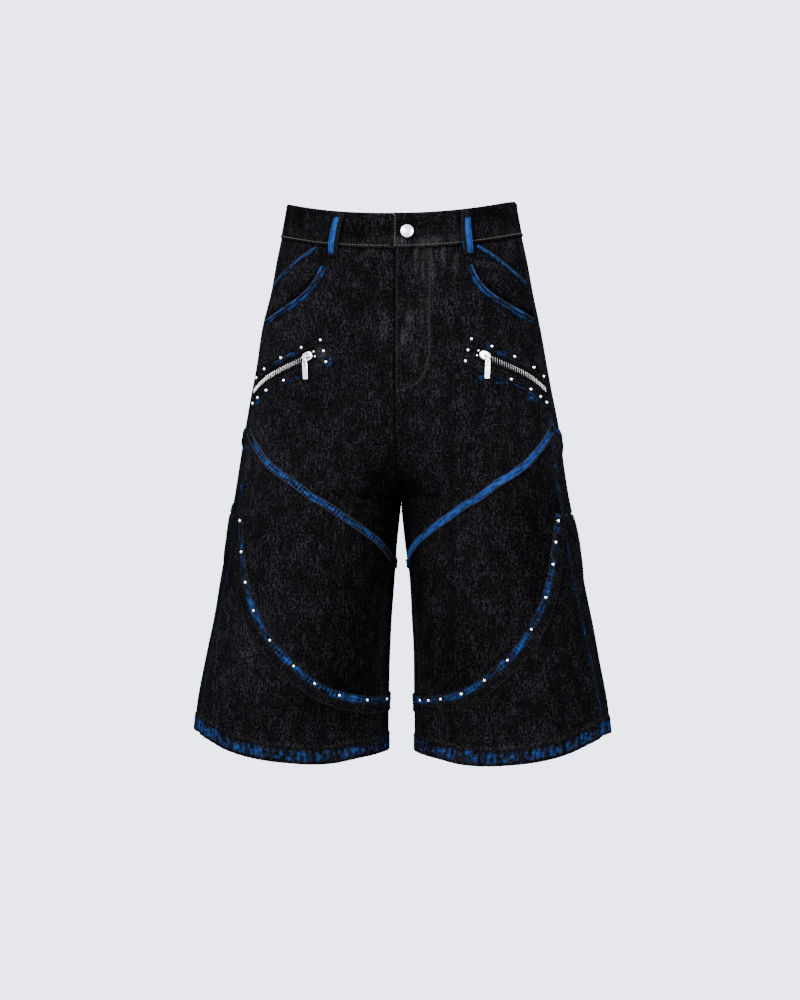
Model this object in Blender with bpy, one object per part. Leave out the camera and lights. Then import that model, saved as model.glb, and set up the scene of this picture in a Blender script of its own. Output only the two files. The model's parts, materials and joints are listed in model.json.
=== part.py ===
"""Studded cropped jeans, hollow as worn, with wide legs that end below the knee.

Lengths below are in millimetres until mesh_object turns them into metres. +Z is up, the front faces -Y and
the wearer's left is +X. The origin is the centre of the waist opening, level with the waistband's top at the
sides. Each half of the garment is one smooth surface. A point on it is given by its height and by an angle
round the half: 0 at the outer side, negative to the front, positive to the back.
"""

import math

import bmesh
import bpy
import numpy as np
from mathutils import Matrix, Vector

MM = 0.001
SIDES = {"left": 1, "right": -1}
FRONT, BACK = -1, 1

# Cloth and seams.
DENIM = 1.6
SEAM = 0.3
FULLNESS = 2.15  # 2 is an ellipse; more is squarer

# The crotch, and the height over which one hip tube parts into two legs.
CROTCH_Z = -357.0
FORK_HEIGHT = 150.0

# Sections of one half, hem first: height, outer half-width, half the gap between the legs, and depths.
SECTIONS = np.array([
    # height, half-width, leg gap, front, back
    (-680, 259.0, 16.00, 91, 96),
    (-646, 254.5, 16.00, 92, 97),
    (-610, 250.5, 15.80, 93, 98),
    (-550, 239.5, 14.60, 96, 100),
    (-480, 225.5, 11.00, 99, 103),
    (-420, 215.0, 6.00, 102, 107),
    (-385, 209.0, 2.60, 104, 110),
    (-357, 203.5, 0.15, 106, 113),
    (-330, 199.5, 0.15, 107, 117),
    (-270, 190.5, 0.15, 110, 126),
    (-200, 177.5, 0.15, 112, 131),
    (-150, 169.0, 0.15, 113, 128),
    (-110, 160.0, 0.15, 112, 121),
    (-70, 152.5, 0.15, 109, 113),
    (-40, 146.2, 0.15, 106, 108),
    (0, 138.8, 0.15, 102, 103),
    (8, 137.3, 0.15, 101, 102),
])
# Angle of the side seam by height: it swings to the front at the knee.
SIDE_SEAM = np.array([
    # height, degrees
    (-680, -25), (-560, -27), (-460, -30), (-400, -31), (-357, -30), (-300, -23), (-250, -19), (8, -19),
])
# How far the inseam swings to the front below the crotch.
INSEAM_TURN = np.array([
    # height, degrees
    (-680, 22), (-600, 23), (-537, 22), (-478, 18), (-430, 12), (-390, 4), (-357, 0), (-350, 0), (8, 0),
])

# Broad folds, alike on both legs: the fold's middle at its top and at its foot, and where those are.
FOLDS = (
    # degrees at top, degrees at foot, top, foot, half-width in degrees, height off the cloth
    (-49, -43, -430, -740, 16, -3.2),
    (-70, -74, -500, -760, 17, 2.2),
    (-38, -34, -255, -400, 13, -2.4),
    (-122, -130, -450, -790, 22, -2.2),
    (-95, -112, -300, -500, 20, -1.6),
    (42, 50, -300, -760, 20, -3.0),
    (78, 70, -380, -600, 19, 2.2),
    (104, 118, -400, -770, 22, -2.6),
    (128, 96, -250, -400, 22, -2.4),
)

# Waistband.
FRONT_DIP = 27.3
BACK_RISE = 5.0
DIP_POWER = 1.6
BAND_HEIGHT = 42.0
BAND_OUT = 0.8
BAND_THICKNESS = 2.6
LEFT_BAND_END = -91.4  # degrees: the buttonhole end laps past the centre
RIGHT_BAND_END = -89.3

# Seam lines: share of the way from centre front (or back, or the leg's inner side) to the side seam, height.
# On the back they start before 0, where the inseam has swung to the front.
KNEE_SEAM_FRONT = np.array([
    (0.0, -440), (0.1, -432), (0.17, -422), (0.25, -409), (0.34, -396.5), (0.42, -384.5), (0.5, -371),
    (0.53, -366), (0.55, -361.5), (0.565, -357), (0.58, -349), (0.6, -342.5), (0.66, -333.5), (0.74, -320.5),
    (0.8, -311), (0.86, -301), (0.93, -287), (1.0, -274),
])
KNEE_SEAM_BACK = np.array([
    (-0.143, -417), (-0.071, -432), (0.0, -440), (0.15, -424), (0.3, -399), (0.45, -366), (0.6, -330),
    (0.75, -302), (0.88, -284), (1.0, -274),
])
ARC_SEAM_FRONT = np.array([
    (0.0, -601), (0.1, -600), (0.2, -599), (0.3, -595), (0.4, -588), (0.5, -572), (0.6, -545), (0.7, -512),
    (0.75, -494), (0.8, -472), (0.85, -446), (0.9, -414), (0.95, -380), (1.0, -350),
])
ARC_SEAM_BACK = np.array([
    (-0.151, -599), (-0.076, -600), (0.0, -601), (0.12, -599), (0.25, -595), (0.4, -580), (0.52, -556),
    (0.64, -516), (0.75, -466), (0.85, -416), (0.93, -377), (1.0, -350),
])
HEM_FRONT = np.array([
    (0.0, -665), (0.1, -664), (0.25, -666), (0.4, -671), (0.5, -671), (0.6, -668), (0.75, -659), (0.9, -648),
    (1.0, -640),
])
HEM_BACK = np.array([
    (-0.151, -665), (-0.076, -664), (0.0, -665), (0.25, -664), (0.5, -663), (0.68, -656), (0.8, -647),
    (0.88, -642), (0.94, -640), (1.0, -640),
])
# The scoop pocket: its edge on the front panel, and the facing seam above it.
POCKET_START = 0.457
SCOOP = np.array([
    (POCKET_START, -86), (0.479, -98), (0.507, -106.5), (0.563, -116.5), (0.662, -126.5), (0.761, -133.5),
    (0.873, -140), (1.0, -145.5),
])
FACING_START = 0.507
FACING_SEAM = np.array([
    (FACING_START, -61.4), (0.56, -65.5), (0.6, -69), (0.66, -74), (0.705, -78.5), (0.775, -85), (0.84, -90),
    (0.915, -96), (1.0, -101),
])
HIP_PIECE_START = 0.535

# Trims that lie on the panels: how far off they lie, how thick they are, and their edges from the seam line.
TRIM_LIFT = 0.8
TRIM_THICKNESS = 1.1
KNEE_TRIM = (-5.0, 5.0)
ARC_BAND = (-4.5, 16.5)
SCOOP_TRIM = (0.5, 9.0)
FACING_TRIM = (0.6, 6.6)
TRIM_STEP = 15.0

# Studs: low domes. Places along the arc seam are shares of the way from the inseam to the side seam.
STUD_RADIUS = 2.3
STUD_HEIGHT = 1.6
STUD_ROOT = 0.7
STUD_SIDES = 6
ARC_STUDS = {
    ("left", FRONT): (0.165, 0.234, 0.303, 0.409, 0.510, 0.597, 0.705, 0.796, 0.867, 0.906, 0.942),
    ("right", FRONT): (0.242, 0.377, 0.484, 0.568, 0.664, 0.759, 0.829, 0.888, 0.942),
    ("left", BACK): (0.06, 0.17, 0.28, 0.39, 0.49, 0.58, 0.66, 0.74, 0.82, 0.93),
    ("right", BACK): (-0.066, 0.06, 0.17, 0.28, 0.39, 0.49, 0.58, 0.66, 0.74, 0.82, 0.93),
}

# The slanted zip pocket on each hip: distance from the side seam round to the front, height.
ZIP_LINE = np.array([
    (-10, -238), (1, -231.5), (12, -225.5), (30, -216.5), (54, -207), (76, -199), (85, -195.5), (100, -189.5),
    (125, -180),
])
ZIP_SLOT = 8.0
ZIP_SLOT_END = 101.5
WELT_EDGE = 19.0
WELT_END = 116.5
WELT_SEAM_GAP = 1.6
WELT_LEAN = 0.47  # how far a point across the zip shifts along it at the side seam
TAPE_EDGE = 7.4
TAPE_LIFT = 0.3
TAPE_THICKNESS = 0.8
CHAIN_EDGE = 3.0
CHAIN_HEIGHT = 1.7
CHAIN_END = 83.5
ZIP_STUDS = (
    # along the zip, across it
    (11.0, 14.0), (29.0, 14.0), (57.0, 14.0), (86.5, 14.0), (110.0, 12.5), (110.5, -1.5), (110.0, -15.0),
    (86.0, -14.0), (55.5, -14.0), (27.5, -14.0), (11.0, -14.0), (-1.0, -14.0),
)

# Slider and pull tab, in the slider's own axes: x along the zip to the front, z off the cloth.
SLIDER_PLACE = 91.5
SLIDER_SIZE = (14.0, 9.6, 3.0)
SLIDER_NARROW = 0.62  # width at the chain end against the other end
SLIDER_LIFT = 1.5
BRIDGE_X = -2.4
BRIDGE_HALF_SPAN = 4.0
BRIDGE_LEG = (1.3, 2.6)
BAR_RADIUS = 0.8
BAR_HEIGHT = 6.5
KNUCKLE_RADIUS = 1.7
KNUCKLE_BORE = 1.1
KNUCKLE_LENGTH = 4.6
TAB_NECK_WIDTH = 3.8
TAB_NECK = 4.5
TAB_WIDTH = 6.2
TAB_LENGTH = 26.0
TAB_THICKNESS = 1.3
TAB_SETTLE = math.radians(8.7)  # the tab leans in until it rests on the stud below it

# Waist button.
BUTTON_ANGLE = -85.6
BUTTON_Z = -50.4
BUTTON_RADIUS = 7.6
BUTTON_RIM = 2.6
BUTTON_CROWN = 5.0
SHANK_RADIUS = 4.2

# Belt loops: angle at the top and at the foot, for each loop of one half.
LOOP_WIDTH = 12.0
LOOP_THICKNESS = 1.8
LOOPS = {
    ("front", "left"): (-58.0, -58.4), ("front", "right"): (-65.4, -63.6),
    ("back", "left"): (52.0, 52.0), ("back", "right"): (52.0, 52.0),
}
LOOP_PROFILE = (
    # share of the way down, height off the cloth
    (0.0, 1.2), (0.06, 2.6), (0.16, 4.0), (0.34, 4.5), (0.6, 4.5), (0.78, 3.8), (0.9, 1.9), (0.96, 0.8),
    (1.0, 0.6),
)
LOOP_TOP_INSET = 2.0
LOOP_DROP = 12.5

# Rows and columns of the panels.
UPPER_FRONT_STATIONS = (
    0.0, 0.035, 0.08, 0.15, 0.225, 0.3, 0.38, 0.455, POCKET_START, 0.479, 0.507, 0.563, 0.662, 0.761, 0.873,
    1.0,
)
BACK_STATIONS = (0.0, 0.035, 0.08, 0.14, 0.21, 0.29, 0.38, 0.47, 0.56, 0.65, 0.74, 0.83, 0.92, 1.0)
CENTRE_INSET = 0.0006  # a panel's seam gap at the centre or inseam, and at the side seam, as a share
SIDE_INSET = 0.001
FORK_LEVELS = (-40, -14, 0, 5, 10, 18, 30, 50, 80, 125, 175, 232)  # rows of the upper panels above the crotch
KNEE_ROWS = 7
LOWER_ROWS = 5

COLOURS = {
    # name: base colour, roughness, metallic
    "denim": ((0.013, 0.013, 0.015, 1), 0.9, 0.0),
    "brushed_blue": ((0.015, 0.10, 0.36, 1), 0.8, 0.0),
    "zip_tape": ((0.006, 0.006, 0.007, 1), 0.8, 0.0),
    "nickel": ((0.78, 0.78, 0.76, 1), 0.25, 1.0),
}


class Curve:
    """A smooth line through the rows of a table, read at any place along its first column."""

    def __init__(self, rows, column=1):
        self.knots = rows[:, 0].astype(float)
        self.values = rows[:, column].astype(float)
        self.slopes = np.gradient(self.values, self.knots)

    def __call__(self, x):
        x = min(max(x, self.knots[0]), self.knots[-1])
        i = min(int(np.searchsorted(self.knots, x, side="right")) - 1, len(self.knots) - 2)
        step = self.knots[i + 1] - self.knots[i]
        t = (x - self.knots[i]) / step
        return float(
            (2 * t**3 - 3 * t**2 + 1) * self.values[i]
            + (t**3 - 2 * t**2 + t) * step * self.slopes[i]
            + (3 * t**2 - 2 * t**3) * self.values[i + 1]
            + (t**3 - t**2) * step * self.slopes[i + 1]
        )


half_width, leg_gap, front_depth, back_depth = (Curve(SECTIONS, column) for column in (1, 2, 3, 4))
side_seam_degrees, inseam_turn = Curve(SIDE_SEAM), Curve(INSEAM_TURN)
zip_height = Curve(ZIP_LINE)


# ---------------------------------------------------------------- the cloth's surface


def rounded(value):
    """Sine or cosine bent from an ellipse towards a fuller section."""
    return math.copysign(abs(value) ** (2 / FULLNESS), value)


def fork(z):
    """0 where both halves are one hip tube, a right angle from the crotch down."""
    height = min(max((z - CROTCH_Z) / FORK_HEIGHT, 0), 1)
    return math.asin((1 - height) ** 2)


def fold_height(angle, z):
    """How far the broad folds lift the cloth here, in millimetres; below 0 in a trough."""
    degrees, lift = math.degrees(angle), 0.0
    for at_top, at_foot, top, foot, spread, height in FOLDS:
        down = (top - z) / (top - foot)
        across = (degrees - at_top - (at_foot - at_top) * down) / spread
        if 0 < down < 1 and abs(across) < 1:
            lift += height * math.sin(math.pi * down) ** 2 * math.cos(math.pi / 2 * across) ** 2
    return lift


def on_half(angle, z):
    width, gap = half_width(z), leg_gap(z)
    inner = (width - gap) / 2
    centre = gap + inner * math.sin(fork(z)) ** (2 / FULLNESS)
    reach = width - centre if math.cos(angle) >= 0 else inner
    depth = front_depth(z) if math.sin(angle) < 0 else back_depth(z)
    swell = 1 + fold_height(angle, z) / depth
    x, y = swell * reach * rounded(math.cos(angle)), swell * depth * rounded(math.sin(angle))
    return Vector((centre + x, y, z))


def outward(angle, z):
    """The half's outward normal, from small steps round it and along it."""
    round_it = on_half(angle + 0.01, z) - on_half(angle - 0.01, z)
    up_it = on_half(angle, z + 1.5) - on_half(angle, z - 1.5)
    return round_it.cross(up_it).normalized()


def cloth_point(side, angle, z, off=0.0):
    """A point off millimetres outside the cloth's face, on the wearer's left (1) or right (-1)."""
    point = on_half(angle, z) + off * outward(angle, z)
    return Vector((side * point.x, point.y, point.z))


def panel_angle(face, share, z):
    """The angle a share of the way from the centre seam or inseam to the side seam."""
    end = face * (math.pi / 2 + fork(z))
    return end + share * (math.radians(side_seam_degrees(z)) - end)


def panel_start(face, z):
    """The share at which a panel starts: 0 at the centre, and at the inseam where that has turned to."""
    width = 180 - face * side_seam_degrees(z)
    return -face * inseam_turn(z) / width


def angle_from_side_seam(distance, z):
    """The angle this many millimetres round to the front from the side seam."""
    seam = math.radians(side_seam_degrees(z))
    angles = np.linspace(seam + math.radians(10), -math.pi / 2, 49)
    points = [on_half(a, z) for a in angles]
    lengths = np.cumsum([0.0] + [(b - a).length for a, b in zip(points, points[1:])])
    start = np.interp(-seam, -angles, lengths)
    return float(-np.interp(start + distance, lengths, -angles))


def zip_point(side, along, across, off):
    """A point on the zip pocket: along it from the side seam, across it upwards, off the cloth."""
    slope = (zip_height(along + 1) - zip_height(along - 1)) / 2
    run = math.hypot(1, slope)
    distance = along - across * slope / run
    z = zip_height(along) + across / run
    return cloth_point(side, angle_from_side_seam(distance, z), z, off)


def band_top(angle):
    depth = abs(math.sin(angle)) ** DIP_POWER
    return -FRONT_DIP * depth if angle < 0 else BACK_RISE * depth


def waist_seam(face):
    """Height of the waistband's lower edge by share of the way to the side seam."""

    def height(share):
        angle = panel_angle(face, share, -BAND_HEIGHT)
        return band_top(angle) - BAND_HEIGHT

    return height


# ---------------------------------------------------------------- meshes


def material(name):
    found = bpy.data.materials.get(name)
    if found:
        return found
    colour, roughness, metallic = COLOURS[name]
    made = bpy.data.materials.new(name)
    made.diffuse_color = colour
    made.use_nodes = True
    shader = made.node_tree.nodes["Principled BSDF"]
    shader.inputs["Base Color"].default_value = colour
    shader.inputs["Roughness"].default_value = roughness
    shader.inputs["Metallic"].default_value = metallic
    return made


def collection(name):
    found = bpy.data.collections.get(name)
    if not found:
        found = bpy.data.collections.new(name)
        bpy.context.scene.collection.children.link(found)
    return found


def mesh_object(name, bm, colour, group="studded_cropped_jeans"):
    """Turns the millimetre mesh into an object in metres."""
    bmesh.ops.recalc_face_normals(bm, faces=bm.faces)
    if bm.calc_volume(signed=True) < 0:
        bmesh.ops.reverse_faces(bm, faces=bm.faces)
    bmesh.ops.scale(bm, vec=(MM, MM, MM), verts=bm.verts)
    mesh = bpy.data.meshes.new(name)
    bm.to_mesh(mesh)
    bm.free()
    mesh.materials.append(material(colour))
    mesh.shade_smooth()
    mesh.set_sharp_from_angle(angle=math.radians(40))
    obj = bpy.data.objects.new(name, mesh)
    collection(group).objects.link(obj)
    return obj


def slab(columns, rows, place):
    """A closed sheet of cloth. place(column, row, level) gives each point, at level 0 inside and 1 outside."""
    bm = bmesh.new()
    for level in (0, 1):
        bmesh.ops.create_grid(
            bm, x_segments=columns, y_segments=rows, size=0.5, matrix=Matrix.Translation((0, 0, level))
        )
    bmesh.ops.bridge_loops(bm, edges=[edge for edge in bm.edges if edge.is_boundary])
    for vert in bm.verts:
        column, row = (vert.co.x + 0.5) * columns, (vert.co.y + 0.5) * rows
        vert.co = place(round(column), round(row), round(vert.co.z))
    return bm


def add_box(bm, size, centre, taper=1.0):
    """A box whose low-x end is taper times as wide."""
    for vert in bmesh.ops.create_cube(bm, size=1)["verts"]:
        width = size[1] * (taper if vert.co.x < 0 else 1)
        vert.co = Vector((vert.co.x * size[0], vert.co.y * width, vert.co.z * size[2])) + Vector(centre)


def add_bar(bm, radius, length, centre, sides=12):
    """A round bar along x."""
    turn = Matrix.Translation(centre) @ Matrix.Rotation(math.pi / 2, 4, "Y")
    bmesh.ops.create_cone(
        bm, cap_ends=True, segments=sides, radius1=radius, radius2=radius, depth=length, matrix=turn
    )


def join(obj, other, operation="UNION"):
    """Joins or cuts with a helper, which stays hidden."""
    other.hide_render = True
    other.display_type = "WIRE"
    modifier = obj.modifiers.new(other.name, "BOOLEAN")
    modifier.operation = operation
    modifier.object = other
    modifier.solver = "EXACT"


# ---------------------------------------------------------------- denim panels


def seam_inset(face, line, share, z):
    """Half the seam gap, measured straight across a seam line that may be steep."""
    before, after = share - 0.01, min(share + 0.01, 1)
    ends = [on_half(panel_angle(face, s, z), z) for s in (before, after)]
    run = max((ends[1] - ends[0]).length, 1e-6)
    return SEAM / 2 * math.hypot(1, (line(after) - line(before)) / run)


def even(start, stop, count):
    return tuple(start + (stop - start) * i / count for i in range(count + 1))


def fork_rows(top, bottom):
    """Rows of an upper panel, as shares of the way up its centre line: close together at the crotch."""
    low, high = bottom(0), top(0)
    return (0.0, *((CROTCH_Z + level - low) / (high - low) for level in FORK_LEVELS), 1.0)


def panel(name, side_name, face, top, bottom, stations, rows):
    """A panel between two seam lines, with the seam gap taken off all round but at a hem."""
    side = SIDES[side_name]
    low, high = stations[0] + CENTRE_INSET, stations[-1] - SIDE_INSET

    def place(column, row, level):
        station = share = min(max(stations[column], low), high)
        for _ in range(4):
            upper, lower = top(share), bottom(share)
            upper -= seam_inset(face, top, share, upper)
            if bottom not in HEMS:
                lower += seam_inset(face, bottom, share, lower)
            z = lower + (upper - lower) * rows[row]
            start = panel_start(face, z)
            share = start + station * (1 - start)
        return cloth_point(side, panel_angle(face, share, z), z, (level - 1) * DENIM)

    return mesh_object(f"{name}_{side_name}", slab(len(stations) - 1, len(rows) - 1, place), "denim")


knee_front, knee_back = Curve(KNEE_SEAM_FRONT), Curve(KNEE_SEAM_BACK)
arc_front, arc_back = Curve(ARC_SEAM_FRONT), Curve(ARC_SEAM_BACK)
hem_front, hem_back = Curve(HEM_FRONT), Curve(HEM_BACK)
scoop, facing_seam = Curve(SCOOP), Curve(FACING_SEAM)
HEMS = (hem_front, hem_back)


def pocket_top(share):
    """The top of the front panel: the waist seam, then the scoop of the pocket."""
    return scoop(share) if share >= POCKET_START else waist_seam(FRONT)(share)


def facing_top(share):
    return facing_seam(share) if share >= FACING_START else waist_seam(FRONT)(share)


def denim_panels(side_name):
    front_across = tuple(s for s in UPPER_FRONT_STATIONS if s != POCKET_START)
    for name, face, waist, knee, arc, hem, upper_stations, stations in (
        ("front", FRONT, pocket_top, knee_front, arc_front, hem_front, UPPER_FRONT_STATIONS, front_across),
        ("back", BACK, waist_seam(BACK), knee_back, arc_back, hem_back, BACK_STATIONS, BACK_STATIONS),
    ):
        panel(f"{name}_upper", side_name, face, waist, knee, upper_stations, fork_rows(waist, knee))
        panel(f"{name}_knee", side_name, face, knee, arc, stations, even(0, 1, KNEE_ROWS))
        panel(f"{name}_lower", side_name, face, arc, hem, stations, even(0, 1, LOWER_ROWS))
    facing = tuple(s + 0.003 if s == POCKET_START else s for s in UPPER_FRONT_STATIONS if s >= POCKET_START)
    panel("pocket_facing", side_name, FRONT, facing_top, scoop, facing, even(0, 1, 3))
    hip = (HIP_PIECE_START,) + tuple(s for s in UPPER_FRONT_STATIONS if s > HIP_PIECE_START)
    panel("hip_piece", side_name, FRONT, waist_seam(FRONT), facing_seam, hip, even(0, 1, 2))


def waistband(side_name, front_end):
    side = SIDES[side_name]
    columns, rows = 26, 2
    start, stop = math.radians(front_end), math.pi / 2 - 0.0012

    def place(column, row, level):
        angle = start + (stop - start) * column / columns
        z = band_top(angle) - BAND_HEIGHT * (1 - row / rows)
        return cloth_point(side, angle, z, BAND_OUT - (1 - level) * BAND_THICKNESS)

    mesh_object(f"waistband_{side_name}", slab(columns, rows, place), "denim")


def belt_loop(name, side, top_angle, foot_angle):
    """A strip that stands off the waistband, caught at its top edge and below its lower one."""
    stations = len(LOOP_PROFILE) - 1
    top_angle, foot_angle = math.radians(top_angle), math.radians(foot_angle)
    top = band_top(top_angle) - LOOP_TOP_INSET
    foot = band_top(foot_angle) - BAND_HEIGHT - LOOP_DROP

    def place(column, row, level):
        down, off = LOOP_PROFILE[stations - row]
        z = top + (foot - top) * down
        middle = top_angle + (foot_angle - top_angle) * down
        width = (on_half(middle + 0.01, z) - on_half(middle - 0.01, z)).length / 0.02
        angle = middle + (column / 2 - 0.5) * LOOP_WIDTH / width
        return cloth_point(side, angle, z, off + level * LOOP_THICKNESS)

    mesh_object(name, slab(2, stations, place), "brushed_blue")


# ---------------------------------------------------------------- trims along the seams


def even_places(face, line, low, high, step):
    """Places (angle, height) along a seam line, about step millimetres apart."""
    shares = np.linspace(low, high, 161)
    places = [(panel_angle(face, s, line(s)), line(s)) for s in shares]
    points = [on_half(*place) for place in places]
    lengths = np.cumsum([0.0] + [(b - a).length for a, b in zip(points, points[1:])])
    count = max(2, round(lengths[-1] / step))
    at = np.linspace(0, lengths[-1], count + 1)
    columns = [np.interp(at, lengths, [p[i] for p in places]) for i in (0, 1)]
    return list(zip(map(float, columns[0]), map(float, columns[1])))


def slide(angle, z, move):
    """The place on the half that a move in space from this place comes nearest to."""
    goal = on_half(angle, z) + move
    for _ in range(3):
        here = on_half(angle, z)
        round_it = (on_half(angle + 0.01, z) - on_half(angle - 0.01, z)) / 0.02
        up_it = (on_half(angle, z + 1) - on_half(angle, z - 1)) / 2
        rest = goal - here
        a, b, c = round_it.dot(round_it), round_it.dot(up_it), up_it.dot(up_it)
        d, e = round_it.dot(rest), up_it.dot(rest)
        scale = a * c - b * b
        angle += (d * c - e * b) / scale
        z += (e * a - d * b) / scale
    return angle, z


def within_panel(face, angle, z, low=0.003, high=0.996):
    """Keeps a trim from crossing the inseam, the centre or the side seam."""
    ends = sorted(panel_angle(face, share, z) for share in (low + panel_start(face, z), high))
    return min(max(angle, ends[0]), ends[1])


def trim(name, side_name, face, line, span, edges, colour, rows=1):
    """A strip along a seam line. edges are its two sides, measured down from the line."""
    start = panel_start(face, line(0))
    places = even_places(face, line, span[0] + start, span[1], TRIM_STEP)
    side = SIDES[side_name]

    def place(column, row, level):
        angle, z = places[column]
        before, after = places[max(column - 1, 0)], places[min(column + 1, len(places) - 1)]
        ahead = (on_half(*after) - on_half(*before)).normalized()
        down = ahead.cross(outward(angle, z)) * -face
        across = edges[0] + (edges[1] - edges[0]) * row / rows
        angle, z = slide(angle, z, down * across)
        off = TRIM_LIFT + level * TRIM_THICKNESS
        return cloth_point(side, within_panel(face, angle, z), z, off)

    return mesh_object(f"{name}_{side_name}", slab(len(places) - 1, rows, place), colour)


def stud_domes(name, places):
    """Low domes rooted in a trim, as one helper mesh. places are (point, normal) pairs."""
    bm = bmesh.new()
    for point, normal in places:
        turn = Vector((0, 0, 1)).rotation_difference(normal).to_matrix().to_4x4()
        dome = bmesh.ops.create_uvsphere(bm, u_segments=STUD_SIDES, v_segments=4, radius=1)["verts"]
        for vert in dome:
            high = STUD_HEIGHT if vert.co.z > 0 else STUD_ROOT
            shaped = Vector((vert.co.x * STUD_RADIUS, vert.co.y * STUD_RADIUS, vert.co.z * high))
            vert.co = turn @ shaped + point
    return mesh_object(name, bm, "nickel", "cutters")


def cloth_normal(side, angle, z):
    normal = outward(angle, z)
    return Vector((side * normal.x, normal.y, normal.z))


def seam_trims(side_name):
    side = SIDES[side_name]
    trim("knee_trim_front", side_name, FRONT, knee_front, (0.02, 0.985), KNEE_TRIM, "brushed_blue")
    trim("knee_trim_back", side_name, BACK, knee_back, (0.02, 0.985), KNEE_TRIM, "brushed_blue")
    trim("scoop_trim", side_name, FRONT, scoop, (POCKET_START, 0.985), SCOOP_TRIM, "brushed_blue")
    trim("facing_trim", side_name, FRONT, facing_seam, (0.53, 0.985), FACING_TRIM, "brushed_blue")
    for name, face, line in (("front", FRONT, arc_front), ("back", BACK, arc_back)):
        band = trim(f"arc_band_{name}", side_name, face, line, (0.004, 0.955), ARC_BAND, "brushed_blue", 2)
        places = []
        for share in ARC_STUDS[side_name, face]:
            z = line(share)
            angle = panel_angle(face, share, z)
            top = cloth_point(side, angle, z, TRIM_LIFT + TRIM_THICKNESS - 0.2)
            places.append((top, cloth_normal(side, angle, z)))
        join(band, stud_domes(f"arc_studs_{name}_{side_name}", places))


# ---------------------------------------------------------------- zip pockets


def welt_edges():
    """Stations round the zip's frame: (along, across) on its slot side and on its outer side."""
    upper = even(0, 1, 8)
    end = even(1, -1, 3)[1:-1]
    inner_start, outer_start = (WELT_SEAM_GAP + WELT_LEAN * edge for edge in (ZIP_SLOT, WELT_EDGE))
    inner_stop, outer_stop = (WELT_SEAM_GAP - WELT_LEAN * edge for edge in (ZIP_SLOT, WELT_EDGE))
    stations = [
        (
            (inner_start + (ZIP_SLOT_END - inner_start) * t, ZIP_SLOT),
            (outer_start + (WELT_END - outer_start) * t, WELT_EDGE),
        )
        for t in upper
    ]
    stations += [((ZIP_SLOT_END, ZIP_SLOT * t), (WELT_END, WELT_EDGE * t)) for t in end]
    stations += [
        (
            (inner_stop + (ZIP_SLOT_END - inner_stop) * t, -ZIP_SLOT),
            (outer_stop + (WELT_END - outer_stop) * t, -WELT_EDGE),
        )
        for t in reversed(upper)
    ]
    return stations


def zip_welt(side_name):
    """The stitched frame round the zip, with its studs."""
    side, stations = SIDES[side_name], welt_edges()

    def place(column, row, level):
        inner, outer = stations[column]
        along, across = (a + (b - a) * row / 2 for a, b in zip(inner, outer))
        return zip_point(side, along, across, TRIM_LIFT + level * TRIM_THICKNESS)

    frame = mesh_object(f"zip_welt_{side_name}", slab(len(stations) - 1, 2, place), "denim")
    top = TRIM_LIFT + TRIM_THICKNESS - 0.2
    places = []
    for along, across in ZIP_STUDS:
        low = zip_point(side, along, across, 0)
        lean = (zip_point(side, along, across, 1) - low).normalized()
        places.append((zip_point(side, along, across, top), lean))
    join(frame, stud_domes(f"zip_studs_{side_name}", places))


def zip_tape(side_name):
    """The tape with the closed chain standing up along its middle, up to the slider."""
    side = SIDES[side_name]
    shoulder = CHAIN_EDGE + 0.3
    across = (-TAPE_EDGE, -shoulder, -CHAIN_EDGE, CHAIN_EDGE, shoulder, TAPE_EDGE)
    along = even(WELT_SEAM_GAP + 2, CHAIN_END, 12) + (CHAIN_END + 0.3, ZIP_SLOT_END - 0.6)

    def place(column, row, level):
        off = TAPE_LIFT + level * TAPE_THICKNESS
        if level and row in (2, 3) and along[column] <= CHAIN_END:
            off += CHAIN_HEIGHT
        lean = WELT_LEAN * across[row] * max(0, 1 - along[column] / 20)
        return zip_point(side, along[column] + lean, across[row], off)

    mesh_object(f"zip_tape_{side_name}", slab(len(along) - 1, len(across) - 1, place), "zip_tape")


def slider_axes(side_name):
    """The slider's frame: x along the zip towards the front, z off the cloth, in millimetres."""
    side = SIDES[side_name]
    origin = zip_point(side, SLIDER_PLACE, 0, 0)
    ahead = zip_point(side, SLIDER_PLACE + 5, 0, 0) - zip_point(side, SLIDER_PLACE - 5, 0, 0)
    off = (zip_point(side, SLIDER_PLACE, 0, 1) - origin).normalized()
    ahead = (ahead - off * ahead.dot(off)).normalized()
    axes = Matrix((ahead, off.cross(ahead), off)).transposed().to_4x4()
    return Matrix.Translation(origin) @ axes


def in_metres(matrix):
    return Matrix.Translation(matrix.translation * MM) @ matrix.to_3x3().to_4x4()


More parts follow.
